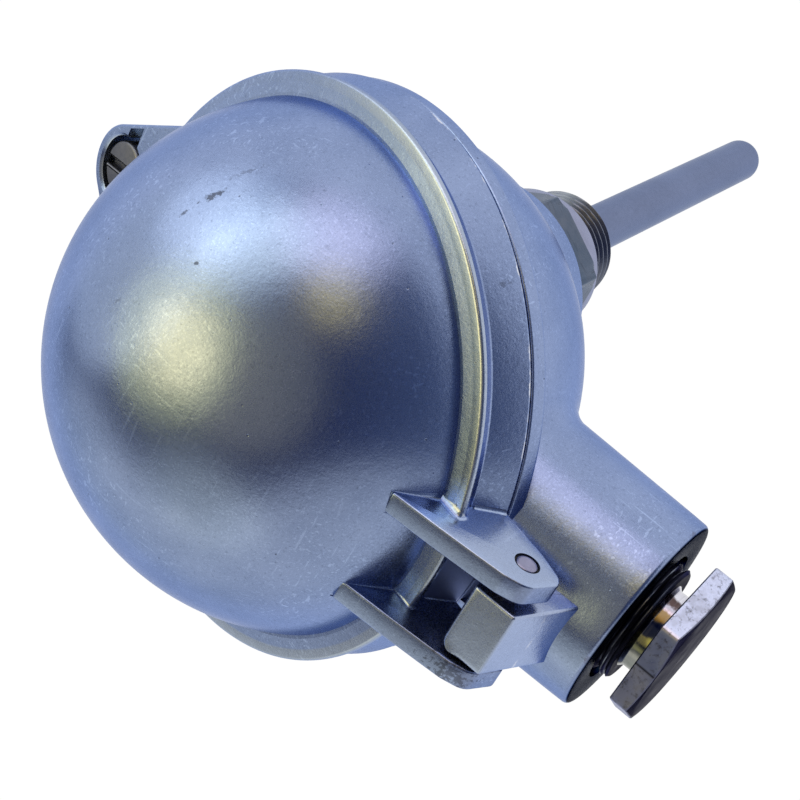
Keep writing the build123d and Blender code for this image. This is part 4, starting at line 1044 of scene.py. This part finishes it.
class PROBE_OT_fitting(ProbeOperator, bpy.types.Operator):
    """Process fitting: hexagon, round shoulder and male thread, with its seal"""

    bl_idname = "probe.fitting"
    bl_label = "Process fitting"

    def make(self, s):
        form = Form()
        width = s["fitting_width"]
        direction, reach = rays(hexagon(width, 30, 0.4))
        over = np.maximum(0, reach - width / 2) * 0.5
        rows = []
        for share, height in (
            (0, 4.0), (0.9, 4.0), (None, 4.15), (1, 4.6), (1, 17.9), (None, 18.35), (0.9, 18.5), (0, 18.5),
        ):
            r = reach * share if share is not None else np.minimum(reach, width / 2 + 0.9)
            if share == 1:
                height = height + over * (1 if height < 10 else -1)
            rows.append(station(direction, r, height))
        form.grid(np.stack(rows, 1))
        collar = rounded([(0, -0.05, 0), (13.2, -0.05, 0.45), (13.2, 4.2, 0.3), (0, 4.2, 0)])
        form.turned(collar, STEM, 160)
        neck = rounded([(0, 18.0, 0), (12.0, 18.0, 0), (12.0, 31.8, 0.6), (0, 31.8, 0)])
        form.turned(neck, STEM, 96)
        low, crest = -12.3, 10.45
        z = np.linspace(low, 0.3, 120)
        taper = np.minimum(crest - 0.9 + (z - low) * 0.9, crest)
        form.thread(200, z, crest, 1.814, low + 0.1, 0.9, taper, STEM)
        form.build("thread_fitting", "fitting", "head", ("process_fitting",))
        seal = Form()
        section = rounded([(12.1, 18.5, 0), (15.0, 18.5, 0.5), (15.0, 20.0, 0.5), (12.1, 20.0, 0)])
        seal.turned(section, STEM, 128, wrap=True)
        seal.build("head_seal", "rubber", "head", ("fitting_seal",))


class PROBE_OT_tube(ProbeOperator, bpy.types.Operator):
    """Protection tube with its welded round tip"""

    bl_idname = "probe.tube"
    bl_label = "Protection tube"

    def make(self, s):
        r = s["tube"]
        tip = -104.5 + r
        outside = arc((0, tip), r, -90, 0, 24)
        side = np.column_stack((np.full(40, r), np.linspace(tip, -13.4, 41)[1:]))
        top = rounded([(r, -13.4, 0), (r + 0.55, -12.4, 0.3), (r + 0.55, -11.0, 0), (r, -11.0, 0), (r, 26.0, 0),
                       (r - 1.0, 26.0, 0), (r - 1.0, tip, 0)])
        inside = arc((0, tip), r - 1.0, 0, -90, 16)
        form = Form()
        form.turned(np.vstack((outside, side, top[1:], inside[1:])), STEM, 96)
        form.build("stem_tube", "tube", "head", ("protection_tube",))


class PROBE_OT_gasket(ProbeOperator, bpy.types.Operator):
    """Lid gasket lying in the flange's groove"""

    bl_idname = "probe.gasket"
    bl_label = "Lid gasket"

    def make(self, s):
        form = Form()
        section = rounded([
            (38.65, -1.05, 0.3), (40.95, -1.05, 0.3), (40.85, 0.48, 0.5), (38.75, 0.48, 0.5),
        ], closed=True)
        form.turned(section, LID, wrap=True)
        form.build("rim_gasket", "rubber", "head", ("lid_gasket",))


class PROBE_OT_insert(ProbeOperator, bpy.types.Operator):
    """Measuring insert, terminals and small fasteners: the CAD's own shapes with their finishes"""

    bl_idname = "probe.insert"
    bl_label = "Insert and terminals"

    def make(self, s):
        dress("tube", "insert_sheath", "insert_plate", "sheath_bushing", "insert_spring_a", "insert_spring_b")
        dress("resin", "sheath_potting")
        dress("ceramic", "terminal_block", "rtd_element")
        dress("brass", "terminal_clamps", "terminal_screws")
        dress("white", "leads_white")
        dress("red", "leads_red")
        dress("plated", "insert_screws", "earth_washer", "earth_screw")


# Studio

CAMERA = {
    "place": (0.09384, 0.15984, 0.31594),
    "right": (0.74881, 0.42119, -0.51174),
    "up": (-0.60782, 0.74424, -0.27686),
    "back": (0.26425, 0.51836, 0.81331),
    "lens": 90.19,
}
AMBIENT = ((0.15, 0.19, 0.28), (0.02, 0.03, 0.09))
SKY = (
    # direction of a soft panel, cosine where it starts, cosine where it is full, colour
    ((-0.53, 0.05, 0.84), 0.950, 0.966, (1.84, 1.35, 0.55)),
    ((-0.58, 0.03, 0.82), 0.866, 0.890, (0.76, 0.68, 0.22)),
    ((-0.82, 0.53, 0.22), 0.910, 0.930, (0.71, 0.71, 0.66)),
    ((-0.57, 0.69, 0.46), 0.886, 1.000, (1.44, 1.46, 1.14)),
    ((-0.20, 0.97, 0.15), 0.887, 0.998, (1.71, 1.46, 1.34)),
    ((0.09, 0.86, 0.51), 0.958, 1.000, (1.04, 0.72, 0.12)),
    ((-0.34, -0.93, 0.11), 0.766, 0.966, (0.79, 0.75, 0.59)),
    ((0.74, -0.64, 0.21), 0.625, 0.900, (0.71, 0.68, 0.56)),
    ((0.01, 0.20, 0.98), 0.860, 0.900, (0.31, 0.26, 0.14)),
    ((-0.97, 0.08, 0.25), 0.770, 0.830, (0.72, 0.70, 0.58)),
    ((0.06, -0.72, 0.70), 0.889, 1.000, (0.70, 0.67, 0.47)),
)


class PROBE_OT_stage(ProbeOperator, bpy.types.Operator):
    """Camera, pale floor and a soft studio sky"""

    bl_idname = "probe.stage"
    bl_label = "Studio"

    def make(self, s):
        scene = bpy.context.scene
        scene.view_settings.view_transform = "Standard"
        lens = bpy.data.cameras.new("view")
        lens.lens = CAMERA["lens"]
        lens.clip_start = 0.01
        camera = linked("view", lens)
        turn = Matrix((CAMERA["right"], CAMERA["up"], CAMERA["back"])).transposed().to_4x4()
        camera.matrix_world = Matrix.Translation(CAMERA["place"]) @ turn
        scene.camera = camera
        self.floor()
        self.sky(scene)

    def floor(self):
        """A round floor under the tip: pale where it is lit, white where the camera or a gloss looks at it."""
        form = Form()
        form.grid(polar(around(96), np.array((0.0, 300.0, 900.0, 2200.0)), np.full(4, FLOOR_Z), STEM))
        floor = linked("floor", form.mesh("floor"))
        f = Finish("pale_floor")
        path = f.add("LightPath").node
        glossy = f.times(path.outputs[3], 0.75)
        seen = f.maths("MAXIMUM", f.maths("MAXIMUM", path.outputs[0], glossy), path.outputs[6])
        c = bpy.context.scene.probe_finishes.floor
        tone = f.blend(f.spread(f.noise(f.place(), 900.0), 0.0, 1.0), rgba(c), rgba(c, 0.97))
        lit = f.add("BsdfDiffuse", 0, {"Color": tone})
        white = f.add("Emission", 0, {"Color": (1, 1, 1, 1), "Strength": 1.02})
        mixed = f.add("MixShader", 0, {0: f.times(seen, 0.97), 1: lit, 2: white})
        f.add("OutputMaterial", 0, {"Surface": mixed})
        floor.data.materials.append(f.data)

    def sky(self, scene):
        """Even sky with soft light panels, and darker where the room is unlit."""
        world = bpy.data.worlds.new("studio")
        scene.world = world
        f = Finish("studio", world)
        way = f.add("TexCoord", 0)
        height = f.parts(way)[2]
        tone = f.blend(f.ramp(height, -0.1, 0.9), rgba(AMBIENT[0]), rgba(AMBIENT[1]))
        for direction, start, full, value in SKY:
            near = self.facing(f, way, direction, start, full)
            tone = f.blend(near, tone, (*value, 1), "ADD")
        matt = f.add("LightPath", 2)
        tone = f.blend(matt, tone, (0.95, 0.95, 0.96, 1))
        back = f.add("Background", 0, {"Color": tone, "Strength": 1.0})
        f.add("OutputWorld", 0, {"Surface": back})

    def facing(self, f, way, direction, start, full):
        """How nearly a ray points in a direction: its cosine from start to full, eased."""
        size = math.sqrt(sum(v * v for v in direction))
        unit = tuple(v / size for v in direction)
        cosine = f.add("VectorMath", 1, {0: way, 1: unit}, operation="DOT_PRODUCT")
        return f.add("MapRange", 0, {0: cosine, 1: start, 2: full}, interpolation_type="SMOOTHSTEP")


class PROBE_PT_panel(bpy.types.Panel):
    """Lists what this file builds"""

    bl_idname = "PROBE_PT_panel"
    bl_label = "Temperature probe"
    bl_space_type = "VIEW_3D"
    bl_region_type = "UI"
    bl_category = "Probe"

    def draw(self, context):
        for group in (context.scene.probe_sizes, context.scene.probe_finishes):
            column = self.layout.column(align=True)
            for key in type(group).__annotations__:
                column.prop(group, key)
        for operator in OPERATORS:
            self.layout.operator(operator.bl_idname)


OPERATORS = (
    PROBE_OT_stage, PROBE_OT_lid, PROBE_OT_body, PROBE_OT_hinge, PROBE_OT_screw, PROBE_OT_plug, PROBE_OT_fitting,
    PROBE_OT_tube, PROBE_OT_gasket, PROBE_OT_insert,
)
CLASSES = (ProbeSizes, ProbeFinishes, *OPERATORS, PROBE_PT_panel)


def register():
    """Registers the classes and hangs the two groups of settings on the scene."""
    for item in CLASSES:
        bpy.utils.register_class(item)
    bpy.types.Scene.probe_sizes = PointerProperty(type=ProbeSizes)
    bpy.types.Scene.probe_finishes = PointerProperty(type=ProbeFinishes)


def unregister():
    """Takes the settings and the classes away again."""
    del bpy.types.Scene.probe_sizes
    del bpy.types.Scene.probe_finishes
    for item in reversed(CLASSES):
        bpy.utils.unregister_class(item)


def main():
    """Builds everything in order."""
    register()
    for operator in OPERATORS:
        group, name = operator.bl_idname.split(".")
        getattr(getattr(bpy.ops, group), name)()


if __name__ == "__main__":
    main()
